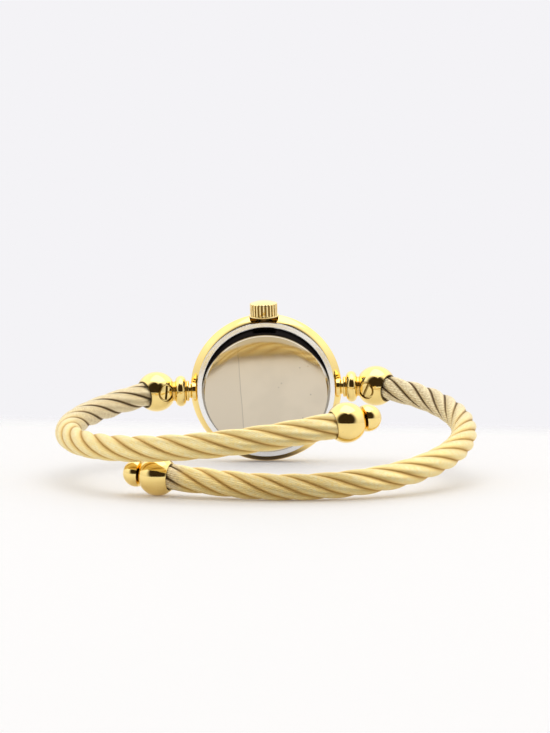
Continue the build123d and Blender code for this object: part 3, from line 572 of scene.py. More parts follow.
@dataclass(frozen=True, kw_only=True)
class DrilledGold(PolishedGold):
    """Gold of a ball socket, with painted shade at the cable's mouth and round the screw's recess."""

    screw_way: Vector
    bore: float
    mouth: float
    recess_radius: float
    recess_edges: tuple[float, float] = (0.04, -0.04)
    recess_tops: tuple[float, float] = (2.96, 2.66)
    recess_floors: tuple[float, float] = (1.8, 2.0)
    recess_share: float = 0.3
    ring_edges: tuple[float, float] = (0.26, 0.16)
    ring_depths: tuple[float, float] = (0.3, 0.1)
    ring_share: float = 0.9

    def dirt_and_shade(self, nodes: Nodes, where: Socket) -> Value:
        """Painted shade on the recess's wall and floor and on the narrow face round the bore.

        Args:
            nodes: Node tree to build in.
            where: Coordinates in millimetres.

        Returns:
            The share, from 0 to 1.
        """
        x, y, out = nodes.split(where)
        across = x * x + y * y
        depth = nodes.along(where, self.screw_way)
        spread = (across + out * out - depth * depth) ** 0.5
        outside, inside = (self.recess_radius + edge for edge in self.recess_edges)
        recess = spread.between(outside, inside)
        recess = recess * depth.between(*self.recess_tops) * depth.between(*self.recess_floors)
        ring = across.between(*((self.bore + edge) ** 2 for edge in self.ring_edges))
        ring = ring * out.between(*(self.mouth - below for below in self.ring_depths))
        return (recess * self.recess_share).larger(ring * self.ring_share)


@dataclass(frozen=True, kw_only=True)
class SlottedGold(PolishedGold):
    """Gold of a screw, with painted shade in its slot and down its side."""

    top: float
    lit_depth: float = 0.08
    dark_depth: float = 0.2
    dark_share: float = 0.7

    def dirt_and_shade(self, nodes: Nodes, where: Socket) -> Value:
        """Painted shade below the screw's top."""
        _, _, out = nodes.split(where)
        return out.between(self.top - self.lit_depth, self.top - self.dark_depth) * self.dark_share


@dataclass(frozen=True)
class CableGold(Finish):
    """Satin gold plate over strands wrapped in fine wire, with painted shade where the strands meet and
    painted highlights, with wear, on their crests.

    Near the socket the wires and the grooves show most, and so they do at the free end.
    """

    patina: Colour = (0.055, 0.026, 0.010)
    patina_share: float = 0.85
    # Colour of the painted shade over the strands' sides and in their grooves.
    groove_shade: Colour = (0.62, 0.355, 0.085)
    soft_share: float = 0.5
    deep_share: float = 0.55
    deep_rough: float = 0.3
    # Colour of the painted highlight, with wear, on the strands' crests.
    worn: Colour = (1.0, 0.92, 0.60)
    wear_and_highlight_share: float = 0.7
    pale: Colour = (1.0, 0.90, 0.60)
    wire_tone: Colour = (0.46, 0.27, 0.085)
    wire: float = 0.30
    slant: float = 0.85
    relief: float = 0.07
    clear_places: tuple[float, float] = (34.85, 14.85)
    end_places: tuple[float, float] = (87.0, 89.5)
    clear_least: float = 0.15
    tuft_stretch: float = 1.3
    dapple_stretch: float = 0.45
    dapple_per_mm: float = 4.2
    dapple_share: float = 0.36

    def surface(self, nodes: Nodes, where: Socket) -> dict:
        """Wire-wrapped strands: the piece's own attribute gives the places on them.

        Args:
            nodes: Node tree to build in.
            where: Coordinates in millimetres.

        Returns:
            Values or links by socket name.
        """
        strand = nodes.node("ShaderNodeAttribute", {"attribute_name": "strand"}).outputs["Vector"]
        around, along, depth = nodes.split(strand)
        across = around + along * self.slant
        ripple = (across * (FULL_TURN / self.wire)).sine()
        tufts = nodes.cells(nodes.vector(across / self.wire, along * self.tuft_stretch, 0.0), 1.0)
        shine = nodes.noise(where, 1.6, 3.0, 0.65)
        grain = nodes.noise(where, 7.0, 2.0, 0.6)
        dapple = nodes.vector(across, along * self.dapple_stretch, 0.0)
        dapple = nodes.noise(dapple, self.dapple_per_mm, 1.0).between(0.53, 0.45)

        near = along.between(*self.clear_places).larger(along.between(*self.end_places))
        clear = near * (1 - self.clear_least) + self.clear_least
        gap = ripple.between(0.1, -0.9) * clear * (grain * 0.7 + 0.2)
        # Painted shade: soft over the strands' sides, deep in the grooves between them.
        soft = (depth + (shine - 0.5) * 0.4).between(0.15, 0.85)
        deep = (depth + (grain - 0.5) * 0.3 + near * 0.04).between(0.5, 0.95)
        # Crests of the strands, where the painted highlight with wear goes.
        crest = depth.between(0.45, 0.0) * (shine + grain * 0.5).between(0.60, 0.95)

        tone = nodes.mix(near, self.colour, self.pale)
        tone = nodes.mix(soft * (1 - near) * self.soft_share, tone, self.groove_shade)
        tone = nodes.mix(crest * self.wear_and_highlight_share, tone, self.worn)
        tone = nodes.mix(dapple * near * self.dapple_share, tone, self.wire_tone)
        tone = nodes.mix(gap, tone, self.wire_tone)
        tone = nodes.mix(deep * self.deep_share, tone, self.groove_shade)
        tone = nodes.mix(deep * near * self.patina_share, tone, self.patina)
        return {
            "Base Color": tone,
            "Roughness": self.roughness + (grain - 0.5) * 0.2 + deep * self.deep_rough,
            "Normal": nodes.bump(ripple * 0.5 - tufts * 0.3 + grain * 0.4, self.relief),
        }


@dataclass(frozen=True)
class CasebackSteel(Finish):
    """Polished steel plate under a clear film, with faint waves, a film edge and tiny pits.

    The bevel and the plate's rim carry a painted dark reflection above, down to a round line that is
    dropped from the plate's middle, with a painted highlight just inside that line.
    """

    wave: float = 0.006
    wave_share: float = 0.95
    hair_stretch: Stretch = (0.25, 6.0, 1.0)
    film_edge: float = -4.1
    film_slant: float = 0.041
    film_wobble: float = 0.2
    film_share: float = 0.96
    film_line: Colour = (0.36, 0.31, 0.25)
    film_line_share: float = 0.5
    plate_radius: float = 10.1
    rim_radius: float = 10.62
    rim_tone: Colour = (0.97, 0.98, 1.0)
    rim_metallic: float = 0.85
    rim_rough: float = 0.10
    lit_drop: float = 0.95
    lit_radius: float = 10.64
    lit_line: Colour = (1.0, 0.96, 0.86)
    lit_line_share: float = 0.7
    shadow_tone: Colour = (0.016, 0.014, 0.014)
    shadow_rough: float = 0.12
    # Colour of the painted gold reflection on the plate towards the crown.
    gold_reflection_tone: Colour = (0.56, 0.44, 0.24)
    pit_tone: Colour = (0.30, 0.28, 0.26)
    pit_share: float = 0.8
    edge_tint: tuple[float, float, float, float] = (0.45, 0.45, 0.45, 1.0)

    def surface(self, nodes: Nodes, where: Socket) -> dict:
        """Plate seen from the back: x is towards the crown and y to twelve o'clock.

        Args:
            nodes: Node tree to build in.
            where: Coordinates in millimetres.

        Returns:
            Values or links by socket name.
        """
        up, across, _ = nodes.split(where)
        waves = nodes.noise(where, 0.22, 2.0, 0.55)
        fine = nodes.noise(where, 5.0, 3.0, 0.6)
        hair = nodes.noise(nodes.stretched(where, self.hair_stretch), 3.0, 2.0, 0.6)
        spots = nodes.cells(where, 0.8).between(0.10, 0.06) * nodes.noise(where, 0.3).between(0.52, 0.60)

        radius = up.diagonal(across)
        plate = radius.between(self.plate_radius, self.plate_radius - 0.1)
        rim = radius.between(self.rim_radius - 0.06, self.rim_radius)
        lit = (up + self.lit_drop).diagonal(across)
        # Painted dark reflection on the bevel and rim above the dropped round line.
        dark = lit.between(self.lit_radius - 0.05, self.lit_radius + 0.07) * (1 - rim)
        # Painted highlight along the inside of that line.
        brink = abs(lit - (self.lit_radius - 0.16)).between(0.10, 0.04) * up.between(1.0, 3.0)
        # Where the painted gold reflection lies on the plate, towards the crown.
        far = (up.between(4.5, 8.0) * 0.5 + up.between(7.6, 8.6) * 0.35) * plate
        wobble = (nodes.noise(where, 0.5, 1.0) - 0.5) * self.film_wobble
        edge = across + up * self.film_slant + wobble - self.film_edge
        film = edge.between(0.03, -0.03) * plate
        line = abs(edge).between(0.10, 0.03) * plate

        tone = nodes.mix(waves.between(0.35, 0.65), self.colour, self.shaded(self.wave_share))
        tone = nodes.mix(film, tone, self.shaded(self.film_share))
        tone = nodes.mix(line * self.film_line_share, tone, self.film_line)
        tone = nodes.mix(spots * self.pit_share, tone, self.pit_tone)
        tone = nodes.mix(rim, tone, self.rim_tone)
        tone = nodes.mix(far, tone, self.gold_reflection_tone)
        tone = nodes.mix(brink * self.lit_line_share, tone, self.lit_line)
        tone = nodes.mix(dark, tone, self.shadow_tone)
        worn = fine * 0.05 + hair.between(0.6, 0.7) * 0.06
        relief = waves + fine * 0.03 + hair * 0.02 + film * 0.3 - spots * 0.6
        return {
            "Base Color": tone,
            "Roughness": self.roughness + worn + rim * self.rim_rough + dark * self.shadow_rough,
            "Metallic": 1 - rim * (1 - self.rim_metallic),
            "Specular Tint": self.edge_tint,
            "Normal": nodes.bump(relief, self.wave),
        }


@dataclass(frozen=True)
class ClearGlass(Finish):
    """Clear mineral glass with faint smears, mostly see-through for the light on the dial."""

    veil: float = 0.15
    bending: float = 1.5
    smear_stretch: Stretch = (1.0, 0.3, 1.0)
    smear_rough: float = 0.03

    def surface(self, nodes: Nodes, where: Socket) -> dict:
        """Glass: light passes, and only the smears change its gloss.

        Args:
            nodes: Node tree to build in.
            where: Coordinates in millimetres.

        Returns:
            Values or links by socket name.
        """
        smear = nodes.noise(nodes.stretched(where, self.smear_stretch), 0.6, 3.0, 0.6)
        return {
            "Roughness": self.roughness + smear.between(0.5, 0.8) * self.smear_rough,
            "Transmission Weight": 1.0,
            "IOR": self.bending,
            "Alpha": self.veil,
        }


class Grain(Enum):
    """How a hidden piece of the movement or case is worked."""

    TURNED = "turned"
    BRUSHED = "brushed"
    MATT = "matt"
    WOUND = "wound"
    MOTTLED = "mottled"


@dataclass(frozen=True)
class WorkedSurface(Finish):
    """A plain worked surface: its grain changes colour, gloss and relief a little."""

    grain: Grain = Grain.MATT
    depth: float = 0.01
    contrast: float = 0.16
    light_share: float = 0.6
    grain_share: float = 0.5
    grain_rough: float = 0.18
    rings_per_mm: float = 9.0
    brush_stretch: Stretch = (0.4, 9.0, 2.0)
    wire: float = 0.14

    def surface(self, nodes: Nodes, where: Socket) -> dict:
        """Grain of the named kind over a broad change of tone.

        Args:
            nodes: Node tree to build in.
            where: Coordinates in millimetres.

        Returns:
            Values or links by socket name.
        """
        grain = self._grain(nodes, where)
        broad = nodes.noise(where, 0.5).between(0.3, 0.7)
        tone = nodes.mix(broad, self.colour, self.shaded(1 - self.contrast))
        light = self.shaded(1 + self.contrast * self.light_share)
        return {
            "Base Color": nodes.mix(grain * self.grain_share, tone, light),
            "Roughness": self.roughness + (grain - 0.5) * self.grain_rough,
            "Normal": nodes.bump(grain, self.depth),
        }

    def _grain(self, nodes: Nodes, where: Socket) -> Value:
        """The grain's height.

        Args:
            nodes: Node tree to build in.
            where: Coordinates in millimetres.

        Returns:
            The height, from 0 to 1.
        """
        up, across, _ = nodes.split(where)
        if self.grain is Grain.TURNED:
            rings = up.diagonal(across) * self.rings_per_mm
            return nodes.noise(nodes.vector(rings, 0.0, 0.0), 1.0, 2.0, 0.6)
        if self.grain is Grain.BRUSHED:
            return nodes.noise(nodes.stretched(where, self.brush_stretch), 1.6, 2.0, 0.6)
        if self.grain is Grain.WOUND:
            return (up * (FULL_TURN / self.wire)).sine() * 0.5 + 0.5
        if self.grain is Grain.MOTTLED:
            return nodes.cells(where, 2.5)
        return nodes.noise(where, 12.0, 3.0, 0.6)


# Modelling helpers


def deselect_all() -> None:
    """Leave edit mode and select nothing."""
    if bpy.context.mode != "OBJECT":
        bpy.ops.object.mode_set(mode="OBJECT")
    bpy.ops.object.select_all(action="DESELECT")


def take_up(piece: bpy.types.Object) -> None:
    """Make one piece the only selected one, and the active one.

    Args:
        piece: The piece.
    """
    deselect_all()
    piece.select_set(True)
    bpy.context.view_layer.objects.active = piece


def named(name: str) -> bpy.types.Object:
    """Give the active object and its data a name.

    Args:
        name: The name.

    Returns:
        The object.
    """
    piece = bpy.context.object
    piece.name = name
    piece.data.name = name
    return piece


def rounded(corners: Sequence[tuple[float, ...]], steps: int = 4, closed: bool = False) -> list[Point]:
    """Draw an outline with rounded corners.

    Args:
        corners: Corners of the outline, each with its radius as a third number where it is
            rounded. The ends of an open outline are sharp.
        steps: Parts of each rounded corner.
        closed: Whether the outline comes back to its first corner.

    Returns:
        The outline's points, with the first one repeated at the end of a closed one.
    """
    points: list[Point] = []
    count = len(corners)
    for index, (x, z, *radius) in enumerate(corners):
        if not radius:
            points.append((x, z))
            continue
        here = Vector((x, z))
        before = Vector(corners[index - 1][:2]) - here
        after = Vector(corners[(index + 1) % count][:2]) - here
        reach = radius[0] / math.tan(before.angle(after) / 2)
        reach = min(reach, before.length * SIDE_SHARE, after.length * SIDE_SHARE)
        start, end = here + before.normalized() * reach, here + after.normalized() * reach
        for step in range(steps + 1):
            share = step / steps
            bend = start.lerp(here, share).lerp(here.lerp(end, share), share)
            points.append((bend.x, bend.y))
    if closed:
        points.append(points[0])
    return points


def bowed(start: Point, end: Point, rise: float, steps: int = 8) -> list[Point]:
    """Points between two ends of a shallow bow, both ends left out.

    Args:
        start: Where the bow starts.
        end: Where it ends.
        rise: How far its middle stands to the left of the straight line.
        steps: Parts of the bow.

    Returns:
        The points between the ends.
    """
    a, b = Vector(start), Vector(end)
    side = Vector((a.y - b.y, b.x - a.x)).normalized()
    shares = [step / steps for step in range(1, steps)]
    found = [a.lerp(b, share) + side * (4 * rise * share * (1 - share)) for share in shares]
    return [(point.x, point.y) for point in found]


def arc(centre: Point, radius: float, start: float, end: float, steps: int = 24) -> list[Point]:
    """Points of an arc, both ends in it.

    Args:
        centre: The arc's centre.
        radius: Its radius.
        start: Angle of its first point, in degrees.
        end: Angle of its last point, in degrees.
        steps: Parts of the arc.

    Returns:
        The arc's points.
    """
    turns = [math.radians(start + (end - start) * step / steps) for step in range(steps + 1)]
    return [
        (centre[0] + radius * math.cos(turn), centre[1] + radius * math.sin(turn)) for turn in turns
    ]


def turned(name: str, outline: Sequence[Point], segments: int = 96) -> bpy.types.Object:
    """Turn an outline about the third axis, as on a lathe.

    Args:
        name: Name of the piece.
        outline: Its points, as distance from the axis and height. It either starts and ends
            on the axis or comes back to its first point.
        segments: Parts of the full turn.

    Returns:
        The turned piece, in millimetres, in edit mode.
    """
    deselect_all()
    bpy.ops.mesh.primitive_plane_add(size=1.0)
    piece = named(name)
    bpy.ops.object.mode_set(mode="EDIT")
    bpy.ops.mesh.merge(type="CENTER")
    bpy.ops.transform.translate(value=(outline[0][0], 0.0, outline[0][1]))
    for (x, z), (next_x, next_z) in zip(outline, outline[1:]):
        bpy.ops.mesh.extrude_vertices_move(
            TRANSFORM_OT_translate={"value": (next_x - x, 0.0, next_z - z)}
        )
    bpy.ops.mesh.select_all(action="SELECT")
    bpy.ops.mesh.spin(steps=segments, angle=FULL_TURN, center=(0, 0, 0), axis=(0, 0, 1))
    close_seams()
    return piece


def close_seams() -> None:
    """Merge the doubles of the mesh in edit mode and turn its faces outwards."""
    bpy.ops.mesh.select_all(action="SELECT")
    bpy.ops.mesh.remove_doubles(threshold=WELD)
    bpy.ops.mesh.normals_make_consistent(inside=False)


def cut_flat(where: Vector, way: Vector) -> None:
    """Cut off what lies beyond a plane from the mesh in edit mode, and close the cut.

    Args:
        where: A point of the plane.
        way: The plane's normal; what lies on that side goes.
    """
    bpy.ops.mesh.select_all(action="SELECT")
    bpy.ops.mesh.bisect(plane_co=where, plane_no=way, use_fill=True, clear_outer=True)
    close_seams()


def finished(piece: bpy.types.Object, place: Place, sharp: float = SHARP) -> bpy.types.Object:
    """Shade a piece and put it in its place, in metres, with its object at the origin.

    Args:
        piece: The piece, in millimetres.
        place: Frame that it was made in.
        sharp: Angle in degrees from which an edge stays sharp.

    Returns:
        The same piece.
    """
    take_up(piece)
    piece.matrix_world = place.matrix
    bpy.ops.object.transform_apply(location=True, rotation=True, scale=True)
    bpy.ops.object.shade_smooth_by_angle(angle=math.radians(sharp))
    return piece


def cut_out(piece: bpy.types.Object, tool: bpy.types.Object) -> None:
    """Cut one piece out of another and throw the tool away.

    Args:
        piece: Piece that is cut.
        tool: Piece that is cut out of it, in the same millimetres.
    """
    take_up(piece)
    cut = piece.modifiers.new("cut", "BOOLEAN")
    cut.operation = "DIFFERENCE"
    cut.solver = "EXACT"
    cut.object = tool
    bpy.ops.object.modifier_apply(modifier=cut.name)
    bpy.data.objects.remove(tool)


def dress(piece: bpy.types.Object, material: bpy.types.Material) -> None:
    """Give a piece its material.

    Args:
        piece: The piece.
        material: Its only material.
    """
    piece.data.materials.clear()
    piece.data.materials.append(material)


def put_up(
    piece: bpy.types.Object,
    place: Place,
    finish: Finish,
    body: str,
    node: str,
    sharp: float = SHARP,
) -> None:
    """Finish a piece, let it ride on a body and stand for a CAD node, and report it.

    Args:
        piece: The piece, in millimetres.
        place: Frame that it was made in.
        finish: Its finish, whose patterns are measured in the same frame.
        body: Body that it rides on.
        node: Name of the CAD node.
        sharp: Angle in degrees from which an edge stays sharp.
    """
    finished(piece, place, sharp)
    dress(piece, finish.material(place))
    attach(piece, body)
    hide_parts(node)
    log.info("%s rides on %s for %s", piece.name, body, node)


# The watch's frames


@dataclass(frozen=True)
class WatchFrames:
    """Frames of the watch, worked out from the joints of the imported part."""

    head: Place
    arms: dict[Side, Place]
    stem_height: float = -0.2

    @classmethod
    def from_frame(cls, frame: dict) -> "WatchFrames":
        """Work the frames out.


        Returns:
            The frames of the head and of both arms.
        """
        joints = {joint["name"]: joint for joint in frame["joints"]}
        crown_way = Vector(joints["crown_turn"]["axis"]).normalized()
        dial_way = -Vector(joints["minute_turn"]["axis"]).normalized()
        head = Place(Vector(joints["minute_turn"]["pos_m"]), crown_way, dial_way)
        arms = {side: cls._arm(joints[f"arm_{side.value}_flex"]) for side in Side}
        return cls(head, arms)

    @staticmethod
    def _arm(joint: dict) -> Place:
        """Frame of an arm, its origin in the middle of the ball socket.

        Args:
            joint: The arm's flex joint, at the outer edge of the cable in the mouth.

        Returns:
            The frame, with x outwards, y forwards under the wrist and z square to the arm.
        """
        z_way = -Vector(joint["axis"]).normalized()
        x_way = Vector((-z_way.z, 0, z_way.x)).normalized()
        edge = Place(Vector(joint["pos_m"]), x_way, z_way)
        out, side = heading_ways(HEADING)
        return Place(edge.point(*(side * CABLE_RADIUS - out * CABLE_START)), x_way, z_way)


# The case


@dataclass
class Case:
    """Case middle, bezel, crystal and caseback, turned about the dial's axis.

    Heights are measured from the middle of the case towards the dial.
    """

    head: Place
    segments: int = 160
    radius: float = 12.5
    girdle: float = 0.5
    girdle_round: float = 0.3
    back_radius: float = 11.4
    back: float = -0.9
    back_round: float = 0.15
    flank_rise: float = 0.12
    front_radius: float = 12.3
    front: float = 1.3
    edge: float = 0.10
    bore: float = 9.95
    back_bore: float = 10.3
    bore_step: float = -0.1
    crown_seat: float = 12.2
    neck: float = 10.9
    neck_seat: float = 1.0
    fit: float = 0.02
    band: float = 0.25
    dome_rise: float = 0.16
    bow_steps: int = 10
    bezel_top: float = 2.9
    bezel_top_radius: float = 11.2
    bezel_round: float = 0.2
    bezel_seat: float = 10.45
    seat_round: float = 0.08
    rehaut: float = 9.5
    rehaut_round: float = 0.05
    shelf: float = 2.1
    crystal_radius: float = 10.24
    crystal_top: float = 3.2
    crystal_top_radius: float = 9.95
    crystal_bevel: float = 0.3
    crystal_round: float = 0.04
    bevel_foot_round: float = 0.03
    plate: float = -3.0
    plate_rings: tuple[float, float] = (4.0, 8.0)
    plate_radius: float = 10.1
    plate_round: float = 0.12
    bevel_radius: float = 10.6
    bevel_round: float = 0.10
    rim: float = -1.1
    rim_radius: float = 11.38
    rim_round: float = 0.08
    wall: float = 0.5
    wall_top: float = -0.15
    plate_wall: float = 0.4

    def build(self, gold: PolishedGold, steel: CasebackSteel, glass: ClearGlass) -> None:
        """Build and dress the four pieces.

        Args:
            gold: Finish of the case middle and the bezel.
            steel: Finish of the caseback.
            glass: Finish of the crystal.
        """
        ring_gold = CaseGold("case_gold", gold.colour, gold.metallic, gold.roughness)
        for name, maker, node, finish, slot in (
            ("case_ring", self.case_ring, "case_middle", ring_gold, Slot.GOLD),
            ("domed_bezel", self.domed_bezel, "bezel", gold, Slot.GOLD),
            ("watch_glass", self.watch_glass, "crystal", glass, Slot.CRYSTAL),
            ("snap_back", self.snap_back, "caseback", steel, Slot.STEEL),
        ):
            put_up(maker(name), self.head, finish, "head", node)

    def case_ring(self, name: str) -> bpy.types.Object:
        """Make the ring, its widest line near the front and flat where the crown sits.

        Args:
            name: Name of the piece.

        Returns:
            The piece, in millimetres.
        """
        girdle, back = (self.radius, self.girdle), (self.back_radius, self.back)
        outline = [
            (self.back_bore, self.back),
            (self.back_bore, self.bore_step),
            (self.bore, self.bore_step),
            (self.bore, self.neck_seat),
            (self.neck + self.fit, self.neck_seat),
            (self.neck + self.fit, self.front),
            (self.front_radius, self.front, self.edge),
            (*girdle, self.girdle_round),
            *bowed(girdle, back, self.flank_rise, self.bow_steps),
            (*back, self.back_round),
        ]
        return self._flat_sided(name, outline)

    def domed_bezel(self, name: str) -> bpy.types.Object:
        """Make the domed ring whose neck sits in the case ring.

        Args:
            name: Name of the piece.

        Returns:
            The piece, in millimetres.
        """
        band = (self.front_radius, self.front + self.band)
        top = (self.bezel_top_radius, self.bezel_top)
        outline = [
            (self.bezel_seat, self.bezel_top, self.seat_round),
            (self.bezel_seat, self.shelf),
            (self.rehaut, self.shelf, self.rehaut_round),
            (self.rehaut, self.neck_seat),
            (self.neck, self.neck_seat),
            (self.neck, self.front),
            (self.front_radius, self.front, self.edge),
            band,
            *bowed(band, top, self.dome_rise, self.bow_steps),
            (*top, self.bezel_round),
        ]
        return self._flat_sided(name, outline)

    def _flat_sided(self, name: str, outline: Sequence[tuple[float, ...]]) -> bpy.types.Object:
        """Turn a closed outline and cut it flat where the crown sits.

        Args:
            name: Name of the piece.
            outline: The outline's corners.

        Returns:
            The piece, in millimetres.
        """
        piece = turned(name, rounded(outline, closed=True), self.segments)
        cut_flat(Vector((self.crown_seat, 0, 0)), Vector((1, 0, 0)))
        return piece

    def watch_glass(self, name: str) -> bpy.types.Object:
        """Make the flat glass with a narrow bevel round its top.

        Args:
            name: Name of the piece.

        Returns:
            The piece, in millimetres.
        """
        foot = self.shelf + self.fit
        outline = [
            (0.0, foot),
            (self.crystal_radius, foot, self.crystal_round),
            (self.crystal_radius, self.crystal_top - self.crystal_bevel, self.bevel_foot_round),
            (self.crystal_top_radius, self.crystal_top, self.crystal_round),
            (0.0, self.crystal_top),
        ]
        return turned(name, rounded(outline), self.segments)

    def snap_back(self, name: str) -> bpy.types.Object:
        """Make the shallow steel cup with a flat plate, a steep bevel and a flat rim.

        Args:
            name: Name of the piece.

        Returns:
            The piece, in millimetres.
        """
        outside = self.back_bore - self.fit
        inside = outside - self.wall
        outline = [
            (0.0, self.plate),
            *((radius, self.plate) for radius in self.plate_rings),
            (self.plate_radius, self.plate, self.plate_round),
            (self.bevel_radius, self.rim, self.bevel_round),
            (self.rim_radius, self.rim, self.rim_round),
            (self.rim_radius, self.back),
            (outside, self.back),
            (outside, self.wall_top),
            (inside, self.wall_top),
            (inside, self.plate + self.plate_wall),
            (0.0, self.plate + self.plate_wall),
        ]
        return turned(name, rounded(outline, steps=5), self.segments)


@dataclass
class Crown:
    """Fluted crown with a low dome. Heights are measured along its stem from the dial's axis."""

    head: Place
    stem_height: float
    back: float = 12.3
    flange_radius: float = 2.5
    flange: float = 0.25
    flange_edge: float = 0.05
    flange_round: float = 0.08
    radius: float = 2.25
    groove: float = 0.02
    plain_band: float = 0.12
    band_end: float = 14.45
    dome: float = 0.45
    dome_share: float = 0.985
    dome_steps: int = 10
    flutes: int = 24
    parts_per_flute: int = 8
    flute_depth: float = 0.16
    flute_shares: tuple[float, float] = (0.30, 0.80)
    cavity: float = 1.3
    cavity_depth: float = 1.15
    sharp: float = 28.0
    pale_gold: Colour = (1.0, 0.80, 0.38)

    @property
    def band_start(self) -> float:
        """Height at which the flutes start."""
        return self.back + self.flange + self.plain_band

    def build(self, gold: PolishedGold) -> None:
        """Build and dress the crown.

        Args:
            gold: Finish that its own paler one is made from.
        """
        place = self.head.toward(0, 0, self.stem_height, self.head.x_way, self.head.z_way)
        piece = self.fluted("fluted_crown")
        finish = FlutedGold(
            "crown_gold", self.pale_gold, gold.metallic, gold.roughness,
            radius=self.radius, back=self.back, band_start=self.band_start, band_end=self.band_end,
        )
        put_up(piece, place, finish, "crown_and_stem", "crown", self.sharp)

    def fluted(self, name: str) -> bpy.types.Object:
        """Turn the crown and press flutes into its band, between narrow ribs.

        Args:
            name: Name of the piece.

        Returns:
            The piece, in millimetres.
        """
        dome_radius = (self.radius**2 + self.dome**2) / (2 * self.dome)
        centre = (0.0, self.band_end + self.dome - dome_radius)
        half = math.degrees(math.asin(self.radius / dome_radius))
        outline = [
            (0.0, self.back + self.cavity_depth),
            (self.cavity, self.back + self.cavity_depth),
            (self.cavity, self.back),
            (self.flange_radius, self.back, self.flange_edge),
            (self.flange_radius, self.back + self.flange, self.flange_round),
            (self.radius, self.back + self.flange + self.groove),
            (self.radius, self.band_start),
            (self.radius, self.band_end - self.plain_band),
            *arc(centre, dome_radius, 90 - half * self.dome_share, 90, self.dome_steps),
        ]
        piece = turned(name, rounded(outline), self.flutes * self.parts_per_flute)
        self._press_flutes(piece)
        return piece

    def _press_flutes(self, piece: bpy.types.Object) -> None:
        """Press the flutes into the band.

        Args:
            piece: The turned crown, in edit mode.
        """
        bpy.ops.mesh.select_all(action="DESELECT")
        bpy.ops.object.mode_set(mode="OBJECT")
        first, last = self.flute_shares
        for vertex in piece.data.vertices:
            x, y, z = vertex.co
            share = (math.atan2(y, x) / FULL_TURN * self.flutes) % 1.0
            outside = math.hypot(x, y) > self.radius - self.flute_depth / 2
            vertex.select = outside and z > self.band_start - WELD and first < share < last
        bpy.ops.object.mode_set(mode="EDIT")
        pressed = (self.radius - self.flute_depth) / self.radius
        bpy.ops.transform.resize(value=(pressed, pressed, 1.0), center_override=(0, 0, 0))


# Stems, sockets and screws


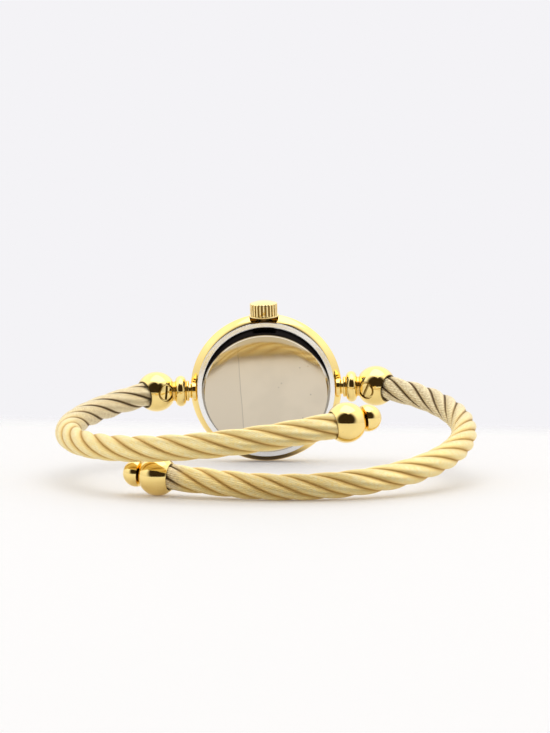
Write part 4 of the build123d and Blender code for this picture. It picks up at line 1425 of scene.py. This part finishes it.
@dataclass
class Lug:
    """Turned stem, ball socket and screw at one end of the head.

    Places along the stem are measured from the dial's axis, and those in the ball from its
    middle.
    """

    side: Side
    head: Place
    arm: Place
    stem_height: float
    slot_turn: float
    segments: int = 96
    flare_start: float = 11.6
    flare_end: float = 12.15
    flare_radius: float = 1.48
    flare_round: float = 0.1
    neck_start: float = 12.45
    neck_place: float = 12.7
    neck_radius: float = 1.22
    neck_round: float = 0.3
    collar_foot: float = 1.5
    bead_place: float = 14.1
    bead_radius: float = 2.55
    bead_width: float = 1.8
    ridges: int = 2
    ridge_foot: float = 1.55
    socket_start: float = 15.45
    ball_place: float = 18.15
    ball_radius: float = 3.3
    ball_steps: int = 48
    mouth: float = 2.45
    mouth_round: float = 0.08
    mouth_bevel: float = 1.2
    bore: float = 2.06
    bore_round: float = 0.05
    bore_bottom: float = -0.5
    recess_radius: float = 1.45
    recess_floor: float = 2.5
    recess_round: float = 0.06
    recess_bevel: tuple[Point, Point] = ((0.10, 3.04), (0.30, 3.7))
    recess_wall_top: float = 2.88
    screw_segments: int = 64
    screw_radius: float = 1.15
    screw_height: float = 0.5
    screw_round: float = 0.1
    screw_dome: float = 0.06
    fit: float = 0.02
    slot_width: float = 0.45
    slot_depth: float = 0.3

    def build(self, gold: PolishedGold) -> None:
        """Build and dress the three pieces.

        Args:
            gold: Their finish.
        """
        side = self.side.value
        outward = self.head.y_way * self.side.sign
        stem_place = self.head.toward(0, 0, self.stem_height, outward, self.head.x_way)
        look = (gold.colour, gold.metallic, gold.roughness)
        drilled = DrilledGold(
            "socket_gold", *look,
            screw_way=self.screw_way, bore=self.bore, mouth=self.mouth, recess_radius=self.recess_radius,
        )
        slotted = SlottedGold("screw_gold", *look, top=self.screw_top)
        for name, maker, finish, place, node in (
            ("turned_stem", self.turned_stem, gold, stem_place, "lug_stem"),
            ("drilled_ball", self.drilled_ball, drilled, self.bore_place, "ball_socket"),
            ("slotted_screw", self.slotted_screw, slotted, self.screw_place, "socket_screw"),
        ):
            piece = maker(f"{name}_{side}")
            put_up(piece, place, finish, "head", f"{node}_{side}")

    @property
    def bore_place(self) -> Place:
        """Frame in the middle of the ball, with its third axis out of the bore."""
        out, _ = heading_ways(HEADING)
        return self.arm.toward(0, 0, 0, self.arm.way(*out), self.arm.z_way)

    @property
    def screw_place(self) -> Place:
        """Frame in the middle of the ball, with its third axis towards the screw's head."""
        _, side = heading_ways(HEADING)
        return self.arm.toward(0, 0, 0, self.arm.way(*side), self.arm.z_way)

    @property
    def screw_way(self) -> Vector:
        """Way of the screw in the frame of the bore."""
        return self.bore_place.turn.transposed() @ self.screw_place.z_way

    @property
    def screw_top(self) -> float:
        """Height of the screw's rim."""
        return self.recess_floor + self.screw_height

    def turned_stem(self, name: str) -> bpy.types.Object:
        """Turn the stem: a flare at the case, a neck, a collar, a bead and two ridges.

        Args:
            name: Name of the piece.

        Returns:
            The piece, in millimetres.
        """
        half = self.bead_width / 2
        collar = (self.bead_place - half - self.neck_place) / 2
        ridge_start = self.bead_place + half
        ridge = (self.socket_start - ridge_start) / self.ridges
        flare = [
            (self.flare_radius, self.flare_start),
            (self.flare_radius, self.flare_end, self.flare_round),
            (self.neck_radius, self.neck_start, self.neck_round),
            (self.neck_radius, self.neck_place),
        ]
        outline = [(0.0, self.flare_start), *rounded(flare)]
        outline += arc((self.collar_foot, self.neck_place + collar), collar, -90, 90, 10)
        outline += arc((self.bead_radius - half, self.bead_place), half, -90, 90)
        for number in range(self.ridges):
            centre = (self.ridge_foot, ridge_start + ridge * (number + 0.5))
            outline += arc(centre, ridge / 2, -90, 90, 8)
        outline += [(0.0, self.socket_start)]
        return turned(name, outline, self.segments)

    def drilled_ball(self, name: str) -> bpy.types.Object:
        """Make the ball with the cable's bore, a flat for the stem and a recess for the screw.

        Args:
            name: Name of the piece.

        Returns:
            The piece, in millimetres.
        """
        rise = math.degrees(math.asin(self.mouth / self.ball_radius))
        ball = arc((0, 0), self.ball_radius, -90, rise - self.mouth_bevel, self.ball_steps)
        bore = [
            ball[-1],
            (math.sqrt(self.ball_radius**2 - self.mouth**2), self.mouth, self.mouth_round),
            (self.bore, self.mouth, self.bore_round),
            (self.bore, self.bore_bottom),
            (0.0, self.bore_bottom),
        ]
        piece = turned(name, ball + rounded(bore)[1:], self.segments)
        inward = self.bore_place.turn.transposed() @ (self.head.y_way * -self.side.sign)
        cut_flat(inward * (self.ball_place - self.socket_start), inward)
        self._recess(piece)
        return piece

    def _recess(self, ball: bpy.types.Object) -> None:
        """Cut the round recess of the screw, with a narrow bevel.

        Args:
            ball: The ball that it is cut into.
        """
        deselect_all()
        bevel = [(self.recess_radius + wider, height) for wider, height in self.recess_bevel]
        outline = [
            (0.0, self.recess_floor),
            (self.recess_radius, self.recess_floor, self.recess_round),
            (self.recess_radius, self.recess_wall_top),
            *bevel,
            (0.0, bevel[-1][1]),
        ]
        tool = turned("recess", rounded(outline), self.screw_segments)
        bpy.ops.object.mode_set(mode="OBJECT")
        tool.matrix_world = self.screw_way.to_track_quat("Z", "Y").to_matrix().to_4x4()
        cut_out(ball, tool)

    def slotted_screw(self, name: str) -> bpy.types.Object:
        """Make the cheese-head screw with a straight slot.

        Args:
            name: Name of the piece.

        Returns:
            The piece, in millimetres.
        """
        foot = self.recess_floor + self.fit
        outline = [
            (0.0, foot),
            (self.screw_radius, foot),
            (self.screw_radius, self.screw_top, self.screw_round),
            (0.0, self.screw_top + self.screw_dome),
        ]
        piece = turned(name, rounded(outline), self.screw_segments)
        deselect_all()
        bpy.ops.mesh.primitive_cube_add(
            size=1.0,
            location=(0, 0, self.screw_top - self.slot_depth + self.screw_height),
            rotation=(0, 0, math.radians(self.slot_turn)),
            scale=(4 * self.screw_radius, self.slot_width, 2 * self.screw_height),
        )
        cut_out(piece, named("slot"))
        return piece


# Cable arms


@dataclass
class CableArm:
    """Twisted cable of five wrapped strands with a ball and tip on its free end."""

    side: Side
    place: Place
    bend_radius: float
    past_front: float
    straight: float
    bore_depth: float = 2.85
    first_bend_radius: float = 26.5
    radius: float = CABLE_RADIUS
    strands: int = 5
    strand_radius: float = 1.05
    strand_points: int = 28
    lay: float = 23.0
    step: float = 0.36
    groove: float = 0.353
    sharp: float = 60.0
    flex_lead: float = 0.3
    flex_length: float = 5.3
    flex_shares: tuple[float, float] = (0.6, 0.8)
    finial_bore: float = 1.2
    finial_radius: float = 3.05
    finial_mouth: float = 2.15
    finial_flat: float = 2.8
    finial_bore_round: float = 0.04
    finial_mouth_round: float = 0.05
    finial_bevel: float = 1.5
    finial_steps: int = 44
    cable_gap: float = 0.1
    fit: float = 0.02
    tip_radius: float = 2.05
    tip_place: float = 3.5
    tip_steps: int = 32
    segments: int = 96

    @property
    def body(self) -> str:
        """Body that the arm is on."""
        return f"arm_{self.side.value}"

    @property
    def strand_ring(self) -> float:
        """Distance of the strands' middles from the cable's middle."""
        return self.radius - self.strand_radius

    @property
    def first_turn(self) -> float:
        """Turn of the first strand at the cable's start, so that it tops the cable in the mouth."""
        return FULL_TURN * (1 / 4 - self.bore_depth / self.lay)

    def build(self, cable: CableGold, gold: PolishedGold) -> None:
        """Build and dress the cable, the ball and the tip.

        Args:
            cable: Finish of the cable.
            gold: Finish of the ball and the tip.
        """
        side = self.side.value
        rope = self.rope(f"twisted_cable_{side}")
        dress(rope, cable.material())
        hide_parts(f"cable_{side}", f"core_wire_{side}", f"cable_plug_{side}")
        outward, forward = self.flex_shares
        out = Vector((self.place.x_way.x, 0, 0)).normalized() * outward
        out += self.place.way(0.0, 1.0, 0.0) * forward
        mouth, _ = heading_ways(HEADING)
        start = self.place.point(*(mouth * CABLE_START)) - out * self.flex_lead * MM
        start + out * self.flex_length * MM
        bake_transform(rope)
        log.info("%s bends between head and %s", rope.name, self.body)

        end, way = self.route_end
        place = self.place.toward(*end, self.place.way(*way), self.place.z_way)
        for name, maker, node in (
            (f"free_ball_{side}", self.free_ball, f"finial_ball_{side}"),
            (f"free_tip_{side}", self.free_tip, f"finial_tip_{side}"),
        ):
            put_up(maker(name), place, gold, self.body, node)

    @property
    def in_finial(self) -> float:
        """Length of cable in the bore of the ball on the free end."""
        return self.finial_bore - self.cable_gap

    @property
    def legs(self) -> list[tuple[float, float]]:
        """The route's legs: each a length, or a radius for a bend, and a turn in radians."""
        quarter = math.radians(90.0 - HEADING)
        second = math.radians(90.0 + self.past_front) / 2
        return [
            (self.bore_depth, 0.0),
            (self.first_bend_radius, quarter),
            (self.bend_radius, second),
            (self.bend_radius, second),
            (self.straight + self.in_finial, 0.0),
        ]

    def _walk(self) -> list[tuple[Vector, Vector]]:
        """Points where the route's legs meet, each with the way of the route there."""
        way, _ = heading_ways(HEADING)
        here = way * (CABLE_START - self.bore_depth)
        found = [(here, way)]
        for size, bend in self.legs:
            if bend == 0.0:
                here = here + way * size
            else:
                side = Vector((-way.y, way.x, 0))
                way = Matrix.Rotation(bend, 3, "Z") @ way
                here = here + (side - Vector((-way.y, way.x, 0))) * size
            found.append((here, way))
        return found

    @property
    def route_end(self) -> tuple[Vector, Vector]:
        """Mouth of the ball on the free end, and the way into it."""
        here, way = self._walk()[-1]
        return here - way * self.in_finial, way

    @property
    def length(self) -> float:
        """Length of the whole route."""
        return sum(size * (bend or 1.0) for size, bend in self.legs)

    def guide(self) -> bpy.types.Object:
        """Draw the curve along the middle of the cable.

        Returns:
            The curve, in the millimetres of the arm's frame.
        """
        deselect_all()
        bpy.ops.curve.primitive_bezier_curve_add(location=(0, 0, 0))
        curve = named("cable_guide")
        curve.data.twist_mode = "Z_UP"
        curve.data.resolution_u = 64
        points = curve.data.splines[0].bezier_points
        places, legs = self._walk(), self.legs
        points.add(len(places) - len(points))
        for point, (here, way), before, after in zip(
            points, places, [legs[0], *legs], [*legs, legs[-1]]
        ):
            point.handle_left_type = point.handle_right_type = "FREE"
            point.co = here
            point.handle_left = here - way * self._handle(*before)
            point.handle_right = here + way * self._handle(*after)
        return curve

    @staticmethod
    def _handle(size: float, bend: float) -> float:
        """Length of a curve handle for a straight leg or a bend."""
        return size / 3 if bend == 0.0 else 4 / 3 * math.tan(bend / 4) * size

    def rope(self, name: str) -> bpy.types.Object:
        """Twist five strands round each other and lay them along the route.

        Args:
            name: Name of the piece.

        Returns:
            The finished piece.
        """
        piece = self._strand_ends(name)
        screw = piece.modifiers.new("twist", "SCREW")
        screw.axis = "X"
        screw.screw_offset = self.length
        screw.angle = FULL_TURN * self.length / self.lay
        screw.steps = screw.render_steps = round(self.length / self.step)
        screw.use_merge_vertices = False
        screw.use_smooth_shade = True
        bpy.ops.object.modifier_apply(modifier=screw.name)
        self._close_ends()
        self._write_strands(piece)
        curve = self.guide()
        take_up(piece)
        bend = piece.modifiers.new("lay", "CURVE")
        bend.object = curve
        bend.deform_axis = "POS_X"
        bpy.ops.object.modifier_apply(modifier=bend.name)
        bpy.data.objects.remove(curve)
        return finished(piece, self.place, self.sharp)

    def _strand_ends(self, name: str) -> bpy.types.Object:
        """Set out the cross-sections of the strands at the cable's start.

        Args:
            name: Name of the piece.

        Returns:
            One object of five rings.
        """
        deselect_all()
        across = Matrix(((0, 0, 1), (0, 1, 0), (-1, 0, 0))).to_4x4()
        out = Matrix.Translation((0, self.strand_ring, 0))
        rings = []
        for number in range(self.strands):
            turn = self.first_turn + number * FULL_TURN / self.strands
            bpy.ops.mesh.primitive_circle_add(vertices=self.strand_points, radius=self.strand_radius)
            rings.append(bpy.context.object)
            rings[-1].matrix_world = Matrix.Rotation(turn, 4, "X") @ out @ across
            bpy.ops.object.transform_apply(location=True, rotation=True, scale=True)
            bpy.ops.object.select_all(action="DESELECT")
        for ring in rings:
            ring.select_set(True)
        bpy.context.view_layer.objects.active = rings[0]
        bpy.ops.object.join()
        return named(name)

    @staticmethod
    def _close_ends() -> None:
        """Close the strands' ends and turn the faces outwards."""
        bpy.ops.object.mode_set(mode="EDIT")
        bpy.ops.mesh.select_mode(type="EDGE")
        bpy.ops.mesh.select_all(action="DESELECT")
        bpy.ops.mesh.select_non_manifold(
            use_wire=False, use_multi_face=False, use_non_contiguous=False, use_verts=False
        )
        bpy.ops.mesh.fill_holes(sides=0)
        bpy.ops.mesh.select_mode(type="VERT")
        bpy.ops.mesh.select_all(action="SELECT")
        bpy.ops.mesh.normals_make_consistent(inside=False)
        bpy.ops.object.mode_set(mode="OBJECT")

    def _write_strands(self, piece: bpy.types.Object) -> None:
        """Write each point's place on its strand as an attribute.

        The three numbers are the way round the strand and along the cable in millimetres,
        and how deep the point lies in the groove, from 0 to 1.

        Args:
            piece: The straight twisted cable.
        """
        along, y, z = np.array([vertex.co for vertex in piece.data.vertices], float).T
        twist = FULL_TURN * along / self.lay + self.first_turn
        share = FULL_TURN / self.strands
        home = np.round((np.arctan2(z, y) - twist) / share) * share + twist
        out = np.cos(home) * y + np.sin(home) * z - self.strand_ring
        over = np.cos(home) * z - np.sin(home) * y
        around = np.arctan2(over, out) * self.strand_radius
        depth = np.clip((self.radius - np.hypot(y, z)) / self.groove, 0.0, 1.0)
        attribute = piece.data.attributes.new("strand", "FLOAT_VECTOR", "POINT")
        values = np.stack([around, along, depth], axis=1).astype(np.float32)
        attribute.data.foreach_set("vector", values.ravel())

    def free_ball(self, name: str) -> bpy.types.Object:
        """Make the ball with the cable's bore, flat where the tip stands.

        Args:
            name: Name of the piece.

        Returns:
            The piece, in millimetres.
        """
        middle = (0.0, self.finial_mouth)
        mouth = -math.degrees(math.asin(self.finial_mouth / self.finial_radius))
        flat = math.degrees(math.asin(self.finial_flat / self.finial_radius))
        bore, floor = self.radius + 2 * self.fit, self.finial_bore + self.fit
        mouth_radius = math.sqrt(self.finial_radius**2 - self.finial_mouth**2)
        outline = [
            (0.0, floor),
            (bore, floor),
            (bore, 0.0, self.finial_bore_round),
            (mouth_radius, 0.0, self.finial_mouth_round),
            *arc(middle, self.finial_radius, mouth + self.finial_bevel, flat, self.finial_steps),
        ]
        tip_seat = (0.0, self.finial_mouth + self.finial_flat)
        return turned(name, [*rounded(outline), tip_seat], self.segments)

    def free_tip(self, name: str) -> bpy.types.Object:
        """Make the small ball beyond the large one.

        Args:
            name: Name of the piece.

        Returns:
            The piece, in millimetres.
        """
        middle = (0.0, self.finial_mouth + self.tip_place)
        start = -math.degrees(math.asin((self.tip_place - self.finial_flat) / self.tip_radius))
        outline = [(0.0, self.finial_mouth + self.finial_flat)]
        outline += arc(middle, self.tip_radius, start, 90, self.tip_steps)
        return turned(name, outline, self.segments)


# Nodes that keep their mesh


@dataclass(frozen=True)
class InnerFinishes:
    """Finishes of the nodes that keep the CAD mesh."""

    head: Place

    def dress_all(self, frame: dict) -> None:
        """Dress every node whose own mesh is shown.
        """
        # Each finish has its colour, metallic share, roughness and grain, and at times the
        # depth and the contrast of that grain.
        grouped = (
            (
                Slot.PLAIN_STEEL,
                WorkedSurface("plain_steel", (0.55, 0.55, 0.56), 1.0, 0.34, Grain.BRUSHED),
                (
                    "battery_clamp", "clutch", "coil_core", "minute_wheel_stud",
                    "movement_screws", "pull_plate", "stator", "winding_stem",
                ),
            ),
            (
                Slot.PLAIN_STEEL,
                # The crown tube is dark brown as painted shade in the gap under the crown.
                WorkedSurface("tube_in_painted_shade", (0.16, 0.085, 0.030), 1.0, 0.45, Grain.TURNED),
                ("crown_tube",),
            ),
            (
                Slot.PLATE_BRASS,
                WorkedSurface("plate_brass", (0.66, 0.60, 0.47), 1.0, 0.42, Grain.MATT),
                ("main_plate", "train_bridge"),
            ),
            (
                Slot.WHEEL_BRASS,
                WorkedSurface("wheel_brass", (0.80, 0.62, 0.28), 1.0, 0.28, Grain.TURNED),
                (
                    "cannon_pinion", "centre_wheel", "hour_wheel", "intermediate_wheel",
                    "minute_wheel", "third_wheel",
                ),
            ),
            (
                Slot.PLASTIC,
                WorkedSurface("moulded_holder", (0.80, 0.79, 0.76), 0.0, 0.55, Grain.MATT),
                ("movement_holder",),
            ),
            (
                Slot.RUBBER,
                WorkedSurface("black_rubber", (0.035, 0.035, 0.035), 0.0, 0.65, Grain.MATT),
                ("caseback_gasket", "crown_gasket", "crystal_gasket"),
            ),
            (
                Slot.COPPER,
                WorkedSurface("wound_copper", (0.72, 0.34, 0.15), 1.0, 0.30, Grain.WOUND, 0.03),
                ("coil",),
            ),
            (
                Slot.BATTERY,
                WorkedSurface("battery_can", (0.70, 0.70, 0.70), 1.0, 0.22, Grain.TURNED),
                ("battery", "quartz_can"),
            ),
            (
                Slot.CIRCUIT,
                WorkedSurface("circuit_lacquer", (0.05, 0.20, 0.10), 0.0, 0.30, Grain.MOTTLED),
                ("circuit_board",),
            ),
            (
                Slot.MOULDING,
                WorkedSurface("black_moulding", (0.03, 0.03, 0.03), 0.0, 0.50, Grain.MATT),
                ("chip",),
            ),
            (
                Slot.MAGNET,
                WorkedSurface("magnet_grain", (0.25, 0.25, 0.27), 0.8, 0.55, Grain.MOTTLED),
                ("rotor",),
            ),
            (
                Slot.DIAL,
                WorkedSurface("dial_paint", (0.93, 0.91, 0.85), 0.0, 0.38, Grain.MATT, 0.004, 0.05),
                ("dial",),
            ),
            (
                Slot.GOLD,
                WorkedSurface("gilt", (0.90, 0.70, 0.32), 1.0, 0.16, Grain.BRUSHED, 0.003, 0.08),
                ("hour_hand", "minute_hand", "hour_markers"),
            ),
        )
        for slot, finish, nodes in grouped:
            material = finish.material(self.head)
            for node in nodes:
                dress(frame["nodes"][node], material)
            log.info("%s on %s", finish.name, ", ".join(nodes))


# Studio


@dataclass
class Studio:
    """Table, surroundings, lamp and camera, with distances in metres and the lens in millimetres.

    The half sizes and edges of the room's dark are measured on the sphere of ways around.
    """

    backdrop: Colour = (0.905, 0.896, 0.922)
    overhead: Colour = (1.34, 1.32, 1.32)
    overhead_rise: float = 0.6
    table: Colour = (0.93, 0.92, 0.905)
    table_roughness: float = 0.7
    table_glow: Colour = (0.085, 0.080, 0.085)
    table_edge: float = 0.083
    table_slope: float = 0.17
    table_fade: float = 0.012
    table_back: float = 0.3
    table_half_width: float = 0.9
    table_front: float = -0.9
    surround: float = 0.74
    room: Colour = (0.035, 0.024, 0.014)
    room_centre: float = 24.0
    room_half_width: float = 0.90
    room_half_height: float = 0.70
    room_edges: tuple[float, float] = (1.15, 0.55)
    room_facing: float = 0.2
    lamp_energy: float = 1.60
    lamp_size: float = 0.75
    lamp_place: tuple[float, float, float] = (0.06, -0.04, 0.75)
    lens: float = 150.96
    sensor: float = 36.0
    clip: tuple[float, float] = (0.01, 20.0)
    camera_place: tuple[float, float, float] = (0.00544, -0.48113, 0.05879)
    camera_pitch: float = 4.84
    camera_turn: float = 0.45

    def build(self) -> None:
        """Build the studio."""
        self.floor()
        self.surroundings()
        self.lamp()
        self.camera()

    def floor(self) -> None:
        """Lay out the pale table, its far edge a little behind the watch."""
        deselect_all()
        bpy.ops.mesh.primitive_plane_add(size=1.0)
        floor = named("table_top")
        depth = self.table_back - self.table_front
        size = Matrix.Diagonal((2 * self.table_half_width, depth, 1.0, 1.0))
        floor.matrix_world = Matrix.Translation((0, self.table_back - depth / 2, 0)) @ size
        bpy.ops.object.transform_apply(location=True, rotation=True, scale=True)
        material = bpy.data.materials.new("pale_table")
        material.use_nodes = True
        nodes = Nodes(material.node_tree)
        where = nodes.node("ShaderNodeTexCoord").outputs["Object"]
        aside, back, _ = nodes.split(where)
        edge = back + aside * self.table_slope - self.table_edge
        paper = nodes.node(
            "ShaderNodeBsdfPrincipled",
            None,
            {
                "Base Color": (*self.table, 1.0),
                "Roughness": self.table_roughness,
                "Alpha": edge.between(self.table_fade, -self.table_fade),
                "Emission Color": nodes.mix(self.shown(nodes), (0.0, 0.0, 0.0), self.table_glow),
                "Emission Strength": 1.0,
            },
        )
        nodes.node("ShaderNodeOutputMaterial", None, {"Surface": paper.outputs[0]})
        floor.data.materials.append(material)
        log.info("table top")

    def surroundings(self) -> None:
        """Set up the white surroundings, with the dark of the room on the camera's side."""
        world = bpy.data.worlds.new("surroundings")
        bpy.context.scene.world = world
        world.use_nodes = True
        nodes = Nodes(world.node_tree)
        way = nodes.node("ShaderNodeTexCoord").outputs["Generated"]
        rise = math.radians(self.room_centre)
        facing = nodes.along(way, (0, -math.cos(rise), math.sin(rise)))
        aside, _, upward = nodes.split(way)
        above = nodes.along(way, (0, math.sin(rise), math.cos(rise)))
        spread = (aside / self.room_half_width) ** 2.0 + (above / self.room_half_height) ** 2.0
        room = spread.between(*self.room_edges) * facing.between(0.0, self.room_facing)
        seen = Value(nodes, nodes.node("ShaderNodeLightPath").outputs["Is Camera Ray"])
        white = (self.surround, self.surround, self.surround)
        upper = upward.between(0.0, self.overhead_rise)
        pale = nodes.mix(upper * (1 - seen), self.backdrop, self.overhead)
        pale = nodes.mix(room * (1 - seen), pale, self.room)
        colour = nodes.mix(self.shown(nodes), white, pale)
        background = nodes.node("ShaderNodeBackground", None, {"Color": colour, "Strength": 1.0})
        nodes.node("ShaderNodeOutputWorld", None, {"Surface": background.outputs[0]})
        log.info("surroundings")

    @staticmethod
    def shown(nodes: Nodes) -> Value:
        """Pick out the rays that show the backdrop, directly, in metal or through glass.

        Args:
            nodes: Node tree to build in.

        Returns:
            1 for such a ray and 0 for any other.
        """
        path = nodes.node("ShaderNodeLightPath")
        camera, glossy, passed = (
            Value(nodes, path.outputs[f"Is {kind} Ray"])
            for kind in ("Camera", "Glossy", "Transmission")
        )
        return (camera + glossy + passed).smaller(1.0)

    def lamp(self) -> None:
        """Hang the large soft lamp."""
        deselect_all()
        bpy.ops.object.light_add(type="AREA", location=self.lamp_place)
        lamp = bpy.context.object
        lamp.name = "soft_lamp"
        lamp.data.energy = self.lamp_energy
        lamp.data.size = self.lamp_size
        lamp.rotation_mode = "QUATERNION"
        lamp.rotation_quaternion = (-Vector(self.lamp_place)).to_track_quat("-Z", "Y")
        log.info("lamp")

    def camera(self) -> None:
        """Set up the camera behind the watch, a little above it."""
        pitch, turn = math.radians(90 - self.camera_pitch), math.radians(self.camera_turn)
        bpy.ops.object.camera_add(location=self.camera_place, rotation=(pitch, 0, turn))
        camera = bpy.context.object
        camera.name = "camera"
        camera.data.sensor_fit = "AUTO"
        camera.data.sensor_width = self.sensor
        camera.data.lens = self.lens
        camera.data.clip_start, camera.data.clip_end = self.clip
        bpy.context.scene.camera = camera
        bpy.context.scene.view_settings.view_transform = "Standard"
        log.info("camera")


def main() -> None:
    """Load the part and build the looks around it."""
    logging.basicConfig(level=logging.INFO, format="%(name)s: %(message)s")
    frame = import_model()
    frames = WatchFrames.from_frame(frame)
    gold = PolishedGold("polished_gold", (1.0, 0.765, 0.295), roughness=0.05)
    cable = CableGold("cable_gold", (1.0, 0.805, 0.345), metallic=0.84, roughness=0.36)
    steel = CasebackSteel("caseback_steel", (0.72, 0.645, 0.52), roughness=0.04)
    glass = ClearGlass("watch_glass", (0.97, 0.98, 0.98), metallic=0.0, roughness=0.0)

    Case(frames.head).build(gold, steel, glass)
    Crown(frames.head, frames.stem_height).build(gold)
    for side, slot_turn in ((Side.LEFT, -15.0), (Side.RIGHT, -25.0)):
        Lug(side, frames.head, frames.arms[side], frames.stem_height, slot_turn).build(gold)
    for arm in (
        CableArm(
            Side.LEFT, frames.arms[Side.LEFT], bend_radius=30.0, past_front=20.5, straight=1.2
        ),
        CableArm(
            Side.RIGHT, frames.arms[Side.RIGHT], bend_radius=27.3, past_front=20.0, straight=9.4
        ),
    ):
        arm.build(cable, gold)
    InnerFinishes(frames.head).dress_all(frame)
    Studio().build()
    bpy.context.view_layer.update()


if __name__ == "__main__":
    main()
